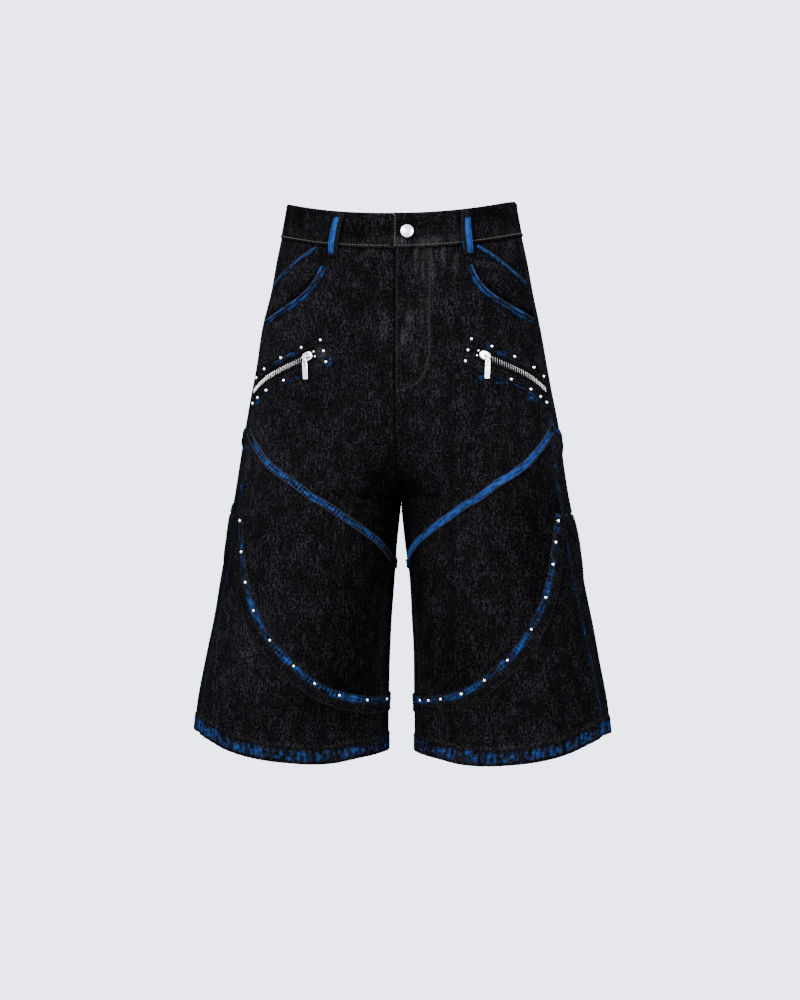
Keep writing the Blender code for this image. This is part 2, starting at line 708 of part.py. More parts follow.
def zip_slider(side_name):
    """Slider body with the bridge whose bar carries the pull tab."""
    bm = bmesh.new()
    add_box(bm, SLIDER_SIZE, (0, 0, SLIDER_LIFT + SLIDER_SIZE[2] / 2), SLIDER_NARROW)
    bmesh.ops.bevel(bm, geom=bm.edges[:], offset=0.7, segments=2, affect="EDGES", profile=0.5)
    body = mesh_object(f"zip_slider_{side_name}", bm, "nickel")
    top = SLIDER_LIFT + SLIDER_SIZE[2]
    bridge = bmesh.new()
    for end in (-1, 1):
        x = BRIDGE_X + end * (BRIDGE_HALF_SPAN - BRIDGE_LEG[0] / 2)
        high = BAR_HEIGHT + BAR_RADIUS - top + 1
        add_box(bridge, (*BRIDGE_LEG, high), (x, 0, top - 1 + high / 2))
    legs = mesh_object(f"bridge_legs_{side_name}", bridge, "nickel", "cutters")
    bar = bmesh.new()
    add_bar(bar, BAR_RADIUS, 2 * BRIDGE_HALF_SPAN - 0.4, (BRIDGE_X, 0, BAR_HEIGHT))
    rod = mesh_object(f"bridge_bar_{side_name}", bar, "nickel", "cutters")
    for obj in (body, legs, rod):
        obj.matrix_world = in_metres(slider_axes(side_name))
    join(body, legs)
    join(body, rod)


def pull_axes(side_name):
    """The tab's frame: origin on the bar, x along the bar, z off the cloth."""
    return slider_axes(side_name) @ Matrix.Translation((BRIDGE_X, 0, BAR_HEIGHT))


def pull_tab(side_name):
    """A knuckle round the bridge's bar, and the flat tab that hangs straight down from it."""
    axes = pull_axes(side_name)
    down = axes.to_3x3().inverted() @ Vector((0, 0, -1))
    down = Vector((down.x, down.y, 0)).normalized()
    wide = Vector((-down.y, down.x, 0)) * (1 if down.y < 0 else -1)
    lean = Matrix.Rotation(math.copysign(TAB_SETTLE, down.y) * -1, 3, "X")
    outline = (
        (0.2, TAB_NECK_WIDTH), (TAB_NECK, TAB_NECK_WIDTH), (TAB_NECK + 1.6, TAB_WIDTH),
        (TAB_LENGTH - 1, TAB_WIDTH),
        (TAB_LENGTH, TAB_WIDTH - 2),
    )
    edge_points = [down * run - wide * (width / 2) for run, width in outline]
    edge_points += [down * run + wide * (width / 2) for run, width in reversed(outline)]
    plate = bmesh.new()
    face = plate.faces.new([plate.verts.new(point) for point in edge_points])
    raised = bmesh.ops.extrude_face_region(plate, geom=[face], use_keep_orig=True)["geom"]
    bmesh.ops.translate(
        plate, vec=(0, 0, TAB_THICKNESS), verts=[v for v in raised if isinstance(v, bmesh.types.BMVert)]
    )
    bmesh.ops.transform(
        plate, matrix=lean.to_4x4() @ Matrix.Translation((0, 0, -TAB_THICKNESS / 2)), verts=plate.verts
    )
    knuckle = bmesh.new()
    add_bar(knuckle, KNUCKLE_RADIUS, KNUCKLE_LENGTH, (0, 0, 0), 16)
    bore = bmesh.new()
    add_bar(bore, KNUCKLE_BORE, KNUCKLE_LENGTH + 4, (0, 0, 0), 16)
    tab = mesh_object(f"pull_tab_{side_name}", knuckle, "nickel")
    helpers = [
        mesh_object(f"tab_plate_{side_name}", plate, "nickel", "cutters"),
        mesh_object(f"knuckle_bore_{side_name}", bore, "nickel", "cutters"),
    ]
    for obj in (tab, *helpers):
        obj.matrix_world = in_metres(axes)
    for helper, operation in zip(helpers, ("UNION", "DIFFERENCE")):
        join(tab, helper, operation)


def waist_button():
    """A domed shank button, turned from its profile."""
    side, angle, gap = SIDES["left"], math.radians(BUTTON_ANGLE), BAND_OUT + SEAM
    profile = (
        (0, BUTTON_CROWN), (3.2, BUTTON_CROWN - 0.2), (5.8, BUTTON_CROWN - 1.0),
        (BUTTON_RADIUS, BUTTON_RIM + 0.9),
        (BUTTON_RADIUS, BUTTON_RIM), (BUTTON_RADIUS - 1, BUTTON_RIM - 0.5), (SHANK_RADIUS, BUTTON_RIM - 0.5),
        (SHANK_RADIUS, 0), (0, 0),
    )
    bm = bmesh.new()
    verts = [bm.verts.new((radius, 0, height)) for radius, height in profile]
    edges = [bm.edges.new(pair) for pair in zip(verts, verts[1:])]
    bmesh.ops.spin(
        bm, geom=verts + edges, cent=(0, 0, 0), axis=(0, 0, 1), angle=math.tau, steps=20, use_merge=True
    )
    bmesh.ops.remove_doubles(bm, verts=bm.verts, dist=0.001)
    button = mesh_object("waist_button", bm, "nickel")
    normal = cloth_normal(side, angle, BUTTON_Z)
    turn = Vector((0, 0, 1)).rotation_difference(normal).to_matrix().to_4x4()
    place = cloth_point(side, angle, BUTTON_Z, gap)
    button.matrix_world = Matrix.Translation(place * MM) @ turn


def main():
    for obj in list(bpy.data.objects):
        bpy.data.objects.remove(obj, do_unlink=True)
    waistband("left", LEFT_BAND_END)
    waistband("right", RIGHT_BAND_END)
    waist_button()
    belt_loop("belt_loop_centre_back", 1, 90, 90)
    for (place_name, side_name), (top_angle, foot_angle) in LOOPS.items():
        belt_loop(f"belt_loop_{place_name}_{side_name}", SIDES[side_name], top_angle, foot_angle)
    for side_name in SIDES:
        denim_panels(side_name)
        seam_trims(side_name)
        zip_welt(side_name)
        zip_tape(side_name)
        zip_slider(side_name)
        pull_tab(side_name)


main()
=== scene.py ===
"""Studded cropped jeans: the cloth, sewing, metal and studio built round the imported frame.

Lengths are in millimetres until build_mesh turns them into metres. +Z is up, the front faces -Y and the
wearer's left is +X. A point on the cloth is given by its height and by an angle round one half of the
garment: 0 at the outer side, negative to the front, positive to the back, as in the frame's own pieces.
"""

import json
import math

import bmesh
import bpy
import numpy as np
from mathutils import Matrix, Vector

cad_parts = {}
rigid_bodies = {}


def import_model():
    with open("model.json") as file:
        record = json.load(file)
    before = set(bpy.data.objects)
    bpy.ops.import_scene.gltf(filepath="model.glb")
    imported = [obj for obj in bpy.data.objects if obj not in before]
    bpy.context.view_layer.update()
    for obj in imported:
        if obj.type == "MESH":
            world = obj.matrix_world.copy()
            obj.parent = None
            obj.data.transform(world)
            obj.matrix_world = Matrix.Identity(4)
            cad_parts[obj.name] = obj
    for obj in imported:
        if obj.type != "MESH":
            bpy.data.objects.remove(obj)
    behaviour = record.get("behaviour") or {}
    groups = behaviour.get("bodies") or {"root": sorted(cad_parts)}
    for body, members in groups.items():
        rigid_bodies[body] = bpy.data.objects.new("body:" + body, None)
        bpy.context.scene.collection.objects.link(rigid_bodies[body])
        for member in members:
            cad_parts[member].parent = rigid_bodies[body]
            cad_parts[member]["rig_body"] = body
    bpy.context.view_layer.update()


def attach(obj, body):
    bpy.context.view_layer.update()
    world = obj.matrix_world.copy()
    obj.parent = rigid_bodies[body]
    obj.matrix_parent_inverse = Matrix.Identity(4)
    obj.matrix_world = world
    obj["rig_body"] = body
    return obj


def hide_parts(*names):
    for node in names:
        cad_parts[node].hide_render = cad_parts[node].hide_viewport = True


bl_info = {
    "name": "Studded Cropped Jeans",
    "version": (1, 0, 0),
    "blender": (4, 5, 0),
    "location": "View3D > Sidebar > Jeans",
    "description": "Builds wide denim jeans with zips, studs and brushed seams",
    "category": "Object",
}

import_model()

MM = 0.001
SIDES = {"left": 1, "right": -1}
FRONT, BACK = -1, 1
BODY = "jeans"

# ---------------------------------------------------------------- the garment's sizes

FULLNESS = 2.15  # 2 is an ellipse, and more is boxier
CROTCH_Z = -357.0
FORK_HEIGHT = 150.0  # over this much above the crotch, the hip tube divides into legs
SECTIONS = np.array([
    # height, half-width, leg gap, front depth, back depth
    (-680, 259.0, 16.00, 91, 96), (-646, 254.5, 16.00, 92, 97), (-610, 250.5, 15.80, 93, 98),
    (-550, 239.5, 14.60, 96, 100), (-480, 225.5, 11.00, 99, 103), (-420, 215.0, 6.00, 102, 107),
    (-385, 209.0, 2.60, 104, 110), (-357, 203.5, 0.15, 106, 113), (-330, 199.5, 0.15, 107, 117),
    (-270, 190.5, 0.15, 110, 126), (-200, 177.5, 0.15, 112, 131), (-150, 169.0, 0.15, 113, 128),
    (-110, 160.0, 0.15, 112, 121), (-70, 152.5, 0.15, 109, 113), (-40, 146.2, 0.15, 106, 108),
    (0, 138.8, 0.15, 102, 103), (8, 137.3, 0.15, 101, 102),
])
SIDE_SEAM = np.array([
    # height, degrees
    (-680, -25), (-560, -27), (-460, -30), (-400, -31), (-357, -30), (-300, -23), (-250, -19), (8, -19),
])
# How far the inseam swings to the front below the crotch.
INSEAM_TURN = np.array([
    # height, degrees
    (-680, 22), (-600, 23), (-537, 22), (-478, 18), (-430, 12), (-390, 4), (-357, 0), (-350, 0), (8, 0),
])
FOLDS = (
    # degrees at top, degrees at foot, top, foot, half-width in degrees, height off the cloth
    (-49, -43, -430, -740, 16, -3.2), (-70, -74, -500, -760, 17, 2.2), (-38, -34, -255, -400, 13, -2.4),
    (-122, -130, -450, -790, 22, -2.2), (-95, -112, -300, -500, 20, -1.6),
    (42, 50, -300, -760, 20, -3.0), (78, 70, -380, -600, 19, 2.2), (104, 118, -400, -770, 22, -2.6),
    (128, 96, -250, -400, 22, -2.4),
)

FRONT_DIP, BACK_RISE, DIP_POWER = 27.3, 5.0, 1.6
BAND_HEIGHT = 42.0
BAND_OUT = 0.8  # the waistband's face, off the cloth

# Seam lines: share of the way from centre front (or back, or inseam) to the side seam, height.
KNEE_SEAM_FRONT = np.array([
    (0.0, -440), (0.1, -432), (0.17, -422), (0.25, -409), (0.34, -396.5), (0.42, -384.5), (0.5, -371),
    (0.53, -366), (0.55, -361.5), (0.565, -357), (0.58, -349), (0.6, -342.5), (0.66, -333.5),
    (0.74, -320.5), (0.8, -311), (0.86, -301), (0.93, -287), (1.0, -274),
])
KNEE_SEAM_BACK = np.array([
    (-0.143, -417), (-0.071, -432), (0.0, -440), (0.15, -424), (0.3, -399), (0.45, -366), (0.6, -330),
    (0.75, -302), (0.88, -284), (1.0, -274),
])
ARC_SEAM_FRONT = np.array([
    (0.0, -601), (0.1, -600), (0.2, -599), (0.3, -595), (0.4, -588), (0.5, -572), (0.6, -545), (0.7, -512),
    (0.75, -494), (0.8, -472), (0.85, -446), (0.9, -414), (0.95, -380), (1.0, -350),
])
ARC_SEAM_BACK = np.array([
    (-0.151, -599), (-0.076, -600), (0.0, -601), (0.12, -599), (0.25, -595), (0.4, -580), (0.52, -556),
    (0.64, -516), (0.75, -466), (0.85, -416), (0.93, -377), (1.0, -350),
])
HEM_FRONT = np.array([
    (0.0, -665), (0.1, -664), (0.25, -666), (0.4, -671), (0.5, -671), (0.6, -668), (0.75, -659),
    (0.9, -648), (1.0, -640),
])
HEM_BACK = np.array([
    (-0.151, -665), (-0.076, -664), (0.0, -665), (0.25, -664), (0.5, -663), (0.68, -656), (0.8, -647),
    (0.88, -642), (0.94, -640), (1.0, -640),
])
POCKET_START = 0.457
SCOOP = np.array([
    (POCKET_START, -86), (0.479, -98), (0.507, -106.5), (0.563, -116.5), (0.662, -126.5), (0.761, -133.5),
    (0.873, -140), (1.0, -145.5),
])
FACING_START = 0.507
FACING_SEAM = np.array([
    (FACING_START, -61.4), (0.56, -65.5), (0.6, -69), (0.66, -74), (0.705, -78.5), (0.775, -85),
    (0.84, -90), (0.915, -96), (1.0, -101),
])
HIP_PIECE_START = 0.535

TRIM_LIFT, TRIM_THICKNESS = 0.8, 1.1
TRIM_TOP = TRIM_LIFT + TRIM_THICKNESS
KNEE_TRIM = (-5.0, 5.0)
SCOOP_TRIM = (0.5, 9.0)
FACING_TRIM = (0.6, 6.6)

ARC_STUDS = {
    ("left", FRONT): (0.165, 0.234, 0.303, 0.409, 0.510, 0.597, 0.705, 0.796, 0.867, 0.906, 0.942),
    ("right", FRONT): (0.242, 0.377, 0.484, 0.568, 0.664, 0.759, 0.829, 0.888, 0.942),
    ("left", BACK): (0.06, 0.17, 0.28, 0.39, 0.49, 0.58, 0.66, 0.74, 0.82, 0.93),
    ("right", BACK): (-0.066, 0.06, 0.17, 0.28, 0.39, 0.49, 0.58, 0.66, 0.74, 0.82, 0.93),
}

ZIP_LINE = np.array([
    # distance from the side seam round to the front, height
    (-10, -238), (1, -231.5), (12, -225.5), (30, -216.5), (54, -207), (76, -199), (85, -195.5),
    (100, -189.5), (125, -180),
])
ZIP_SLOT = 8.0
ZIP_SLOT_END = 101.5
WELT_EDGE = 19.0
WELT_END = 116.5
WELT_SEAM_GAP = 1.6
WELT_LEAN = 0.47
CHAIN_END = 83.5
ZIP_STUDS = (
    # along the zip, across it
    (11.0, 14.0), (29.0, 14.0), (57.0, 14.0), (86.5, 14.0), (110.0, 12.5), (110.5, -1.5), (110.0, -15.0),
    (86.0, -14.0), (55.5, -14.0), (27.5, -14.0), (11.0, -14.0), (-1.0, -14.0),
)
SLIDER_PLACE = 91.5

BUTTON_ANGLE = -85.6
BUTTON_Z = -50.4

LOOP_WIDTH = 12.0
LOOPS = {
    ("front", "left"): (-58.0, -58.4), ("front", "right"): (-65.4, -63.6),
    ("back", "left"): (52.0, 52.0), ("back", "right"): (52.0, 52.0),
}
LOOP_PROFILE = np.array([
    # share of the way down, height off the cloth
    (0.0, 1.2), (0.06, 2.6), (0.16, 4.0), (0.34, 4.5), (0.6, 4.5), (0.78, 3.8), (0.9, 1.9), (0.96, 0.8),
    (1.0, 0.6),
])
LOOP_TOP_INSET = 2.0
LOOP_DROP = 12.5

# ---------------------------------------------------------------- creases, on top of the frame's broad folds

CREASE_RADIUS = 105.0  # turns an angle round the leg into a distance
CREASES = (
    # side (0 both), degrees and height at one end, the same at the other, half-width, height off the cloth
    (0, -168, -350, -128, -404, 9, 1.3), (0, -160, -338, -118, -352, 10, -1.1),
    (0, -150, -372, -112, -440, 11, -1.2), (0, -96, -292, -80, -318, 9, 0.6),
    (0, -37, -300, -33, -372, 7, -1.1), (0, -29, -310, -24, -420, 8, 1.0),
    (0, -52, -470, -38, -640, 9, -1.6), (0, -61, -520, -52, -660, 8, 1.3),
    (0, -36, -500, -27, -650, 8, 1.1), (1, -84, -610, -70, -668, 12, -0.9),
    (-1, -92, -600, -98, -668, 13, -1.0), (1, -135, -470, -142, -560, 12, 0.8),
    (-1, -128, -500, -140, -610, 12, 0.9), (1, -112, -455, -100, -540, 14, -0.7),
    (-1, -106, -470, -96, -590, 14, -0.8), (1, -70, -360, -58, -430, 12, 0.7),
    (-1, -74, -350, -60, -445, 12, 0.8), (0, -46, -120, -30, -160, 8, -0.7),
    (0, -40, -162, -24, -182, 8, 0.7), (0, 20, -240, 60, -262, 11, -0.9),
    (0, 60, -262, 104, -306, 12, 1.3), (0, 80, -300, 140, -352, 13, -1.6),
    (0, 70, -330, 128, -388, 12, 1.2), (0, 24, -330, 30, -470, 12, -1.2),
    (0, 60, -420, 112, -438, 11, -1.2), (0, 52, -452, 118, -470, 12, 1.1),
    (1, 88, -520, 82, -650, 13, -1.5), (-1, 96, -500, 88, -655, 13, -1.6),
    (0, 34, -560, 30, -668, 11, 1.4), (1, 140, -520, 136, -640, 12, 1.0),
    (-1, 146, -500, 138, -650, 12, 1.1), (0, 10, -440, 14, -560, 12, -0.8),
)
RIPPLES = (
    # waves round the half, waves per metre down it, phase, height
    (3.0, 2.1, 0.4, 0.30), (5.0, 4.7, 2.1, 0.22), (8.0, -6.3, 4.0, 0.16), (2.0, 9.4, 5.2, 0.18),
    (11.0, 7.9, 1.3, 0.10), (4.0, -13.0, 3.3, 0.10),
)

# ---------------------------------------------------------------- the cloth's surface


class Curve:
    """A smooth line through the rows of a table, read at any places along its first column."""

    def __init__(self, rows, column=1):
        self.knots = rows[:, 0].astype(float)
        self.values = rows[:, column].astype(float)
        self.slopes = np.gradient(self.values, self.knots)

    def __call__(self, x):
        x = np.clip(x, self.knots[0], self.knots[-1])
        i = np.clip(np.searchsorted(self.knots, x, side="right") - 1, 0, len(self.knots) - 2)
        step = self.knots[i + 1] - self.knots[i]
        t = (x - self.knots[i]) / step
        return (
            (2 * t**3 - 3 * t**2 + 1) * self.values[i]
            + (t**3 - 2 * t**2 + t) * step * self.slopes[i]
            + (3 * t**2 - 2 * t**3) * self.values[i + 1]
            + (t**3 - t**2) * step * self.slopes[i + 1]
        )


half_width, leg_gap, front_depth, back_depth = (Curve(SECTIONS, column) for column in (1, 2, 3, 4))
side_seam_degrees, inseam_turn = Curve(SIDE_SEAM), Curve(INSEAM_TURN)
zip_height = Curve(ZIP_LINE)
knee_front, knee_back = Curve(KNEE_SEAM_FRONT), Curve(KNEE_SEAM_BACK)
arc_front, arc_back = Curve(ARC_SEAM_FRONT), Curve(ARC_SEAM_BACK)
hem_front, hem_back = Curve(HEM_FRONT), Curve(HEM_BACK)
scoop, facing_seam = Curve(SCOOP), Curve(FACING_SEAM)
loop_height = Curve(LOOP_PROFILE)


def smooth(t):
    """0 below 0, 1 above 1, and a soft step between."""
    t = np.clip(t, 0, 1)
    return t * t * (3 - 2 * t)


def near(value, middle, reach):
    """1 at the middle, fading to both sides."""
    return np.exp(-(((value - middle) / reach) ** 2))


def unit(vectors):
    return vectors / np.maximum(np.linalg.norm(vectors, axis=-1, keepdims=True), 1e-9)


def rounded(value):
    return np.sign(value) * np.abs(value) ** (2 / FULLNESS)


def fork(z):
    """0 where both halves are one hip tube, a right angle from the crotch down."""
    return np.arcsin((1 - np.clip((z - CROTCH_Z) / FORK_HEIGHT, 0, 1)) ** 2)


def broad_fold(angle, z):
    degrees, lift = np.degrees(angle), 0.0
    for at_top, at_foot, top, foot, spread, height in FOLDS:
        down = np.clip((top - z) / (top - foot), 0, 1)
        across = np.clip((degrees - at_top - (at_foot - at_top) * down) / spread, -1, 1)
        lift = lift + height * np.sin(np.pi * down) ** 2 * np.cos(np.pi / 2 * across) ** 2
    return lift


def half_point(angle, z):
    angle, z = np.broadcast_arrays(np.asarray(angle, float), np.asarray(z, float))
    width, gap = half_width(z), leg_gap(z)
    inner = (width - gap) / 2
    centre = gap + inner * np.sin(fork(z)) ** (2 / FULLNESS)
    reach = np.where(np.cos(angle) >= 0, width - centre, inner)
    depth = np.where(np.sin(angle) < 0, front_depth(z), back_depth(z))
    swell = 1 + broad_fold(angle, z) / depth
    x = centre + swell * reach * rounded(np.cos(angle))
    return np.stack([x, swell * depth * rounded(np.sin(angle)), z], -1)


def outward(angle, z):
    round_it = half_point(angle + 0.01, z) - half_point(angle - 0.01, z)
    up_it = half_point(angle, z + 1.5) - half_point(angle, z - 1.5)
    return unit(np.cross(round_it, up_it))


def crease_height(side, angle, z):
    """The listed creases of this side, and a faint unevenness all over."""
    u, lift = angle * CREASE_RADIUS, 0.0
    for which, start, start_z, end, end_z, spread, height in CREASES:
        if which not in (0, side):
            continue
        ahead = np.array([math.radians(end - start) * CREASE_RADIUS, end_z - start_z])
        length = np.hypot(*ahead)
        du, dz = u - math.radians(start) * CREASE_RADIUS, z - start_z
        along = np.clip((du * ahead[0] + dz * ahead[1]) / length**2, 0, 1)
        across = np.clip((du * ahead[1] - dz * ahead[0]) / length / spread, -1, 1)
        lift = lift + height * np.sin(np.pi * along) ** 2 * np.cos(np.pi / 2 * across) ** 2
    for turns, waves, phase, height in RIPPLES:
        lift = lift + height * np.sin(turns * angle + waves * 2 * np.pi * z * MM + phase + side)
    return lift * settled(z)


def settled(z):
    """Creases fade out towards the waistband, which is firm."""
    return smooth((-z - 45) / 70)


def cloth(side, angle, z, off=0.0):
    """Points off millimetres outside the creased cloth, on the wearer's left (1) or right (-1)."""
    angle, z, off = np.broadcast_arrays(*(np.asarray(v, float) for v in (angle, z, off)))
    lift = (off + crease_height(side, angle, z))[..., None]
    points = half_point(angle, z) + lift * outward(angle, z)
    return points * (side, 1, 1)


def cloth_normal(side, angle, z):
    return outward(np.asarray(angle, float), np.asarray(z, float)) * (side, 1, 1)


def panel_angle(face, share, z):
    end = face * (np.pi / 2 + fork(z))
    return end + share * (np.radians(side_seam_degrees(z)) - end)


def panel_start(face, z):
    """The share at which a panel starts: 0 at the centre, and at the inseam where that has turned to."""
    return -face * inseam_turn(z) / (180 - face * side_seam_degrees(z))


def width_at(angle, z):
    """Millimetres round the half for each radian here."""
    return np.linalg.norm(half_point(angle + 0.01, z) - half_point(angle - 0.01, z), axis=-1) / 0.02


def walk_round(angle, distance, z, steps=24):
    """Angles this far round the half at these heights; a positive distance goes towards the back."""
    for _ in range(steps):
        middle = angle + distance / steps / 2 / width_at(angle, z)
        angle = angle + distance / steps / width_at(middle, z)
    return angle


def band_top(angle):
    depth = np.abs(np.sin(angle)) ** DIP_POWER
    return np.where(angle < 0, -FRONT_DIP * depth, BACK_RISE * depth)


def waist_seam(face):
    def height(share):
        return band_top(panel_angle(face, share, -BAND_HEIGHT)) - BAND_HEIGHT

    return height


def pocket_top(share):
    return np.where(share >= POCKET_START, scoop(share), waist_seam(FRONT)(share))


def facing_top(share):
    return np.where(share >= FACING_START, facing_seam(share), waist_seam(FRONT)(share))


def distance_along(points, axis=0):
    """Running length along a line or along the lines of a grid."""
    steps = np.linalg.norm(np.diff(points, axis=axis), axis=-1)
    start = np.zeros_like(np.take(steps, [0], axis=axis))
    return np.concatenate([start, np.cumsum(steps, axis=axis)], axis=axis)


def seam_line(face, line, low, high, step):
    """Evenly spaced places (angle, height) along a softened seam line, with the distance run."""
    shares = np.linspace(low, high, 400)
    z = line(shares)
    angle = panel_angle(face, shares, z)
    weights = np.hanning(43) / np.hanning(43).sum()
    for _ in range(2):
        padded = [np.concatenate([2 * v[0] - v[21:0:-1], v, 2 * v[-1] - v[-2:-23:-1]]) for v in (angle, z)]
        angle, z = (np.convolve(v, weights, mode="valid") for v in padded)
    run = distance_along(half_point(angle, z))
    at = np.linspace(0, run[-1], max(2, round(run[-1] / step)) + 1)
    return np.interp(at, run, angle), np.interp(at, run, z), at


def slide(angle, z, move):
    """The places on the half that these moves in space come nearest to."""
    goal = half_point(angle, z) + move
    for _ in range(3):
        round_it = (half_point(angle + 0.01, z) - half_point(angle - 0.01, z)) / 0.02
        up_it = (half_point(angle, z + 1) - half_point(angle, z - 1)) / 2
        rest = goal - half_point(angle, z)
        a, b, c = ((p * q).sum(-1) for p, q in ((round_it, round_it), (round_it, up_it), (up_it, up_it)))
        d, e = (round_it * rest).sum(-1), (up_it * rest).sum(-1)
        scale = a * c - b * b
        angle, z = angle + (d * c - e * b) / scale, z + (e * a - d * b) / scale
    return angle, z


def beside_line(face, angle, z, across):
    """Places this far below a seam line: a grid, along the line and across it."""
    ahead = unit(np.gradient(half_point(angle, z), axis=0))
    down = np.cross(ahead, outward(angle, z)) * -face
    across = np.broadcast_to(across, (len(angle), np.shape(across)[-1]))
    grid_angle, grid_z = (np.repeat(v[:, None], across.shape[1], axis=1) for v in (angle, z))
    return slide(grid_angle, grid_z, down[:, None, :] * across[..., None])


def within_panel(face, angle, z, low=0.003, high=0.996):
    ends = [panel_angle(face, low + panel_start(face, z), z), panel_angle(face, high, z)]
    return np.clip(angle, np.minimum(*ends), np.maximum(*ends))


def zip_place(along, across):
    """Angle and height on the zip pocket: along it from the side seam, across it upwards."""
    along, across = np.broadcast_arrays(np.asarray(along, float), np.asarray(across, float))
    slope = (zip_height(along + 1) - zip_height(along - 1)) / 2
    run = np.hypot(1, slope)
    z = zip_height(along) + across / run
    return walk_round(np.radians(side_seam_degrees(z)), across * slope / run - along, z), z


# ---------------------------------------------------------------- meshes


def build_mesh(name, points, faces, materials, slots=None):
    """An object from millimetre points. Faces are lists of point numbers."""
    mesh = bpy.data.meshes.new(name)
    mesh.from_pydata((points * MM).tolist(), [], [list(face) for face in faces])
    for item in materials:
        mesh.materials.append(item)
    if slots is not None:
        mesh.polygons.foreach_set("material_index", np.asarray(slots, np.int32))
    mesh.shade_smooth()
    obj = bpy.data.objects.new(name, mesh)
    bpy.context.scene.collection.objects.link(obj)
    return obj


def set_map(obj, name, values):
    """A UV map, in metres, from one value per point."""
    layer = obj.data.uv_layers.new(name=name)
    corners = np.empty(len(obj.data.loops), np.int32)
    obj.data.loops.foreach_get("vertex_index", corners)
    layer.data.foreach_set("uv", (values[corners] * MM).astype(np.float32).ravel())


def set_value(obj, name, values):
    attribute = obj.data.attributes.new(name, "FLOAT", "POINT")
    attribute.data.foreach_set("value", np.asarray(values, np.float32).ravel())


def grid_faces(rows, columns):
    index = np.arange(rows * columns).reshape(rows, columns)
    return np.stack([index[:-1, :-1], index[:-1, 1:], index[1:, 1:], index[1:, :-1]], -1).reshape(-1, 4)


def cloth_piece(name, outer, inner, weave, materials, brush=None, paint=0.0, wear_and_sheen=0.0, wash_and_shade=1.0):
    """A thin closed shell between two grids of points, with its maps, riding on the body."""
    rows, columns = outer.shape[:2]
    count = rows * columns
    index = np.arange(count).reshape(rows, columns)
    rim = np.concatenate([index[0, :], index[1:, -1], index[-1, -2::-1], index[-2:0:-1, 0]])
    following = np.roll(rim, -1)
    front = grid_faces(rows, columns)
    edge = np.stack([following, rim, rim + count, following + count], -1)
    faces = np.concatenate([front, front[:, ::-1] + count, edge])
    row, column = rows // 2, columns // 2
    ahead, right = outer[row + 1, column] - outer[row, column], outer[row, column + 1] - outer[row, column]
    if np.cross(right, ahead) @ (outer[row, column] - inner[row, column]) < 0:
        faces = faces[:, ::-1]
    slots = np.concatenate([np.zeros(len(front)), np.ones(len(front)), np.zeros(len(edge))])
    points = np.concatenate([outer.reshape(-1, 3), inner.reshape(-1, 3)])
    obj = build_mesh(name, points, faces, materials, slots)
    both = np.concatenate([weave.reshape(-1, 2)] * 2)
    set_map(obj, "weave", both)
    set_map(obj, "brush", both if brush is None else np.concatenate([brush.reshape(-1, 2)] * 2))
    for label, values in (("paint", paint), ("wear_and_sheen", wear_and_sheen), ("wash_and_shade", wash_and_shade)):
        spread = np.broadcast_to(values, (rows, columns)).ravel()
        set_value(obj, label, np.concatenate([spread, spread]))
    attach(obj, BODY)
    return obj


def scatter(name, template, origins, axes, material):
    """One joined mesh with a copy of the template at each place. axes are each place's own x, y and z."""
    points, faces = template
    placed = origins[:, None, :] + np.einsum("pk,nkc->npc", points, axes)
    shift = (np.arange(len(origins)) * len(points))[:, None, None]
    all_faces = []
    for size in sorted({len(face) for face in faces}):
        alike = np.array([face for face in faces if len(face) == size])
        all_faces += (alike[None] + shift).reshape(-1, size).tolist()
    obj = build_mesh(name, placed.reshape(-1, 3), all_faces, [material])
    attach(obj, BODY)
    return obj


def lathe(profile, segments):
    """A template turned about z from (radius, height) rows, first and last on the axis."""
    profile = np.asarray(profile, float)
    turn = np.arange(segments) * 2 * np.pi / segments
    ring = np.stack([np.cos(turn), np.sin(turn)], -1)
    points = [np.array([[0, 0, profile[0, 1]]])]
    for radius, height in profile[1:-1]:
        points.append(np.column_stack([ring * radius, np.full(segments, height)]))
    points.append(np.array([[0, 0, profile[-1, 1]]]))
    faces, rings = [], len(profile) - 2
    for i in range(segments):
        j = (i + 1) % segments
        faces.append((0, 1 + i, 1 + j))
        for k in range(rings - 1):
            a, b = 1 + k * segments, 1 + (k + 1) * segments
            faces.append((a + i, b + i, b + j, a + j))
        last = 1 + (rings - 1) * segments
        faces.append((last + i, 1 + rings * segments, last + j))
    return np.concatenate(points), faces


def joined(parts):
    """Several (points, faces) as one."""
    points, faces, start = [], [], 0
    for more, its_faces in parts:
        points.append(more)
        faces += [[int(i) + start for i in face] for face in its_faces]
        start += len(more)
    return np.concatenate(points), faces


def skin_faces(rings, segments):
    """Faces of a closed skin over rings of points, with a cap at both ends."""
    index = np.arange(rings * segments).reshape(-1, segments)
    around = np.roll(index, -1, axis=1)
    faces = np.stack([index[:-1], around[:-1], around[1:], index[1:]], -1).reshape(-1, 4).tolist()
    return faces + [index[0, ::-1].tolist(), index[-1].tolist()]


def tube(path, radii, segments, flat=1.0):
    """A closed tube along a path in the xz plane; flat widens it across."""
    path = np.asarray(path, float)
    ahead = unit(np.gradient(path, axis=0))
    side = np.array([0.0, 1.0, 0.0])
    up = np.cross(ahead, side)
    turn = np.arange(segments) * 2 * np.pi / segments
    radii = np.broadcast_to(radii, (len(path),))
    flat = np.broadcast_to(flat, (len(path),))
    rings = path[:, None] + radii[:, None, None] * (
        np.cos(turn)[None, :, None] * side * flat[:, None, None] + np.sin(turn)[None, :, None] * up[:, None]
    )
    return rings.reshape(-1, 3), skin_faces(len(path), segments)


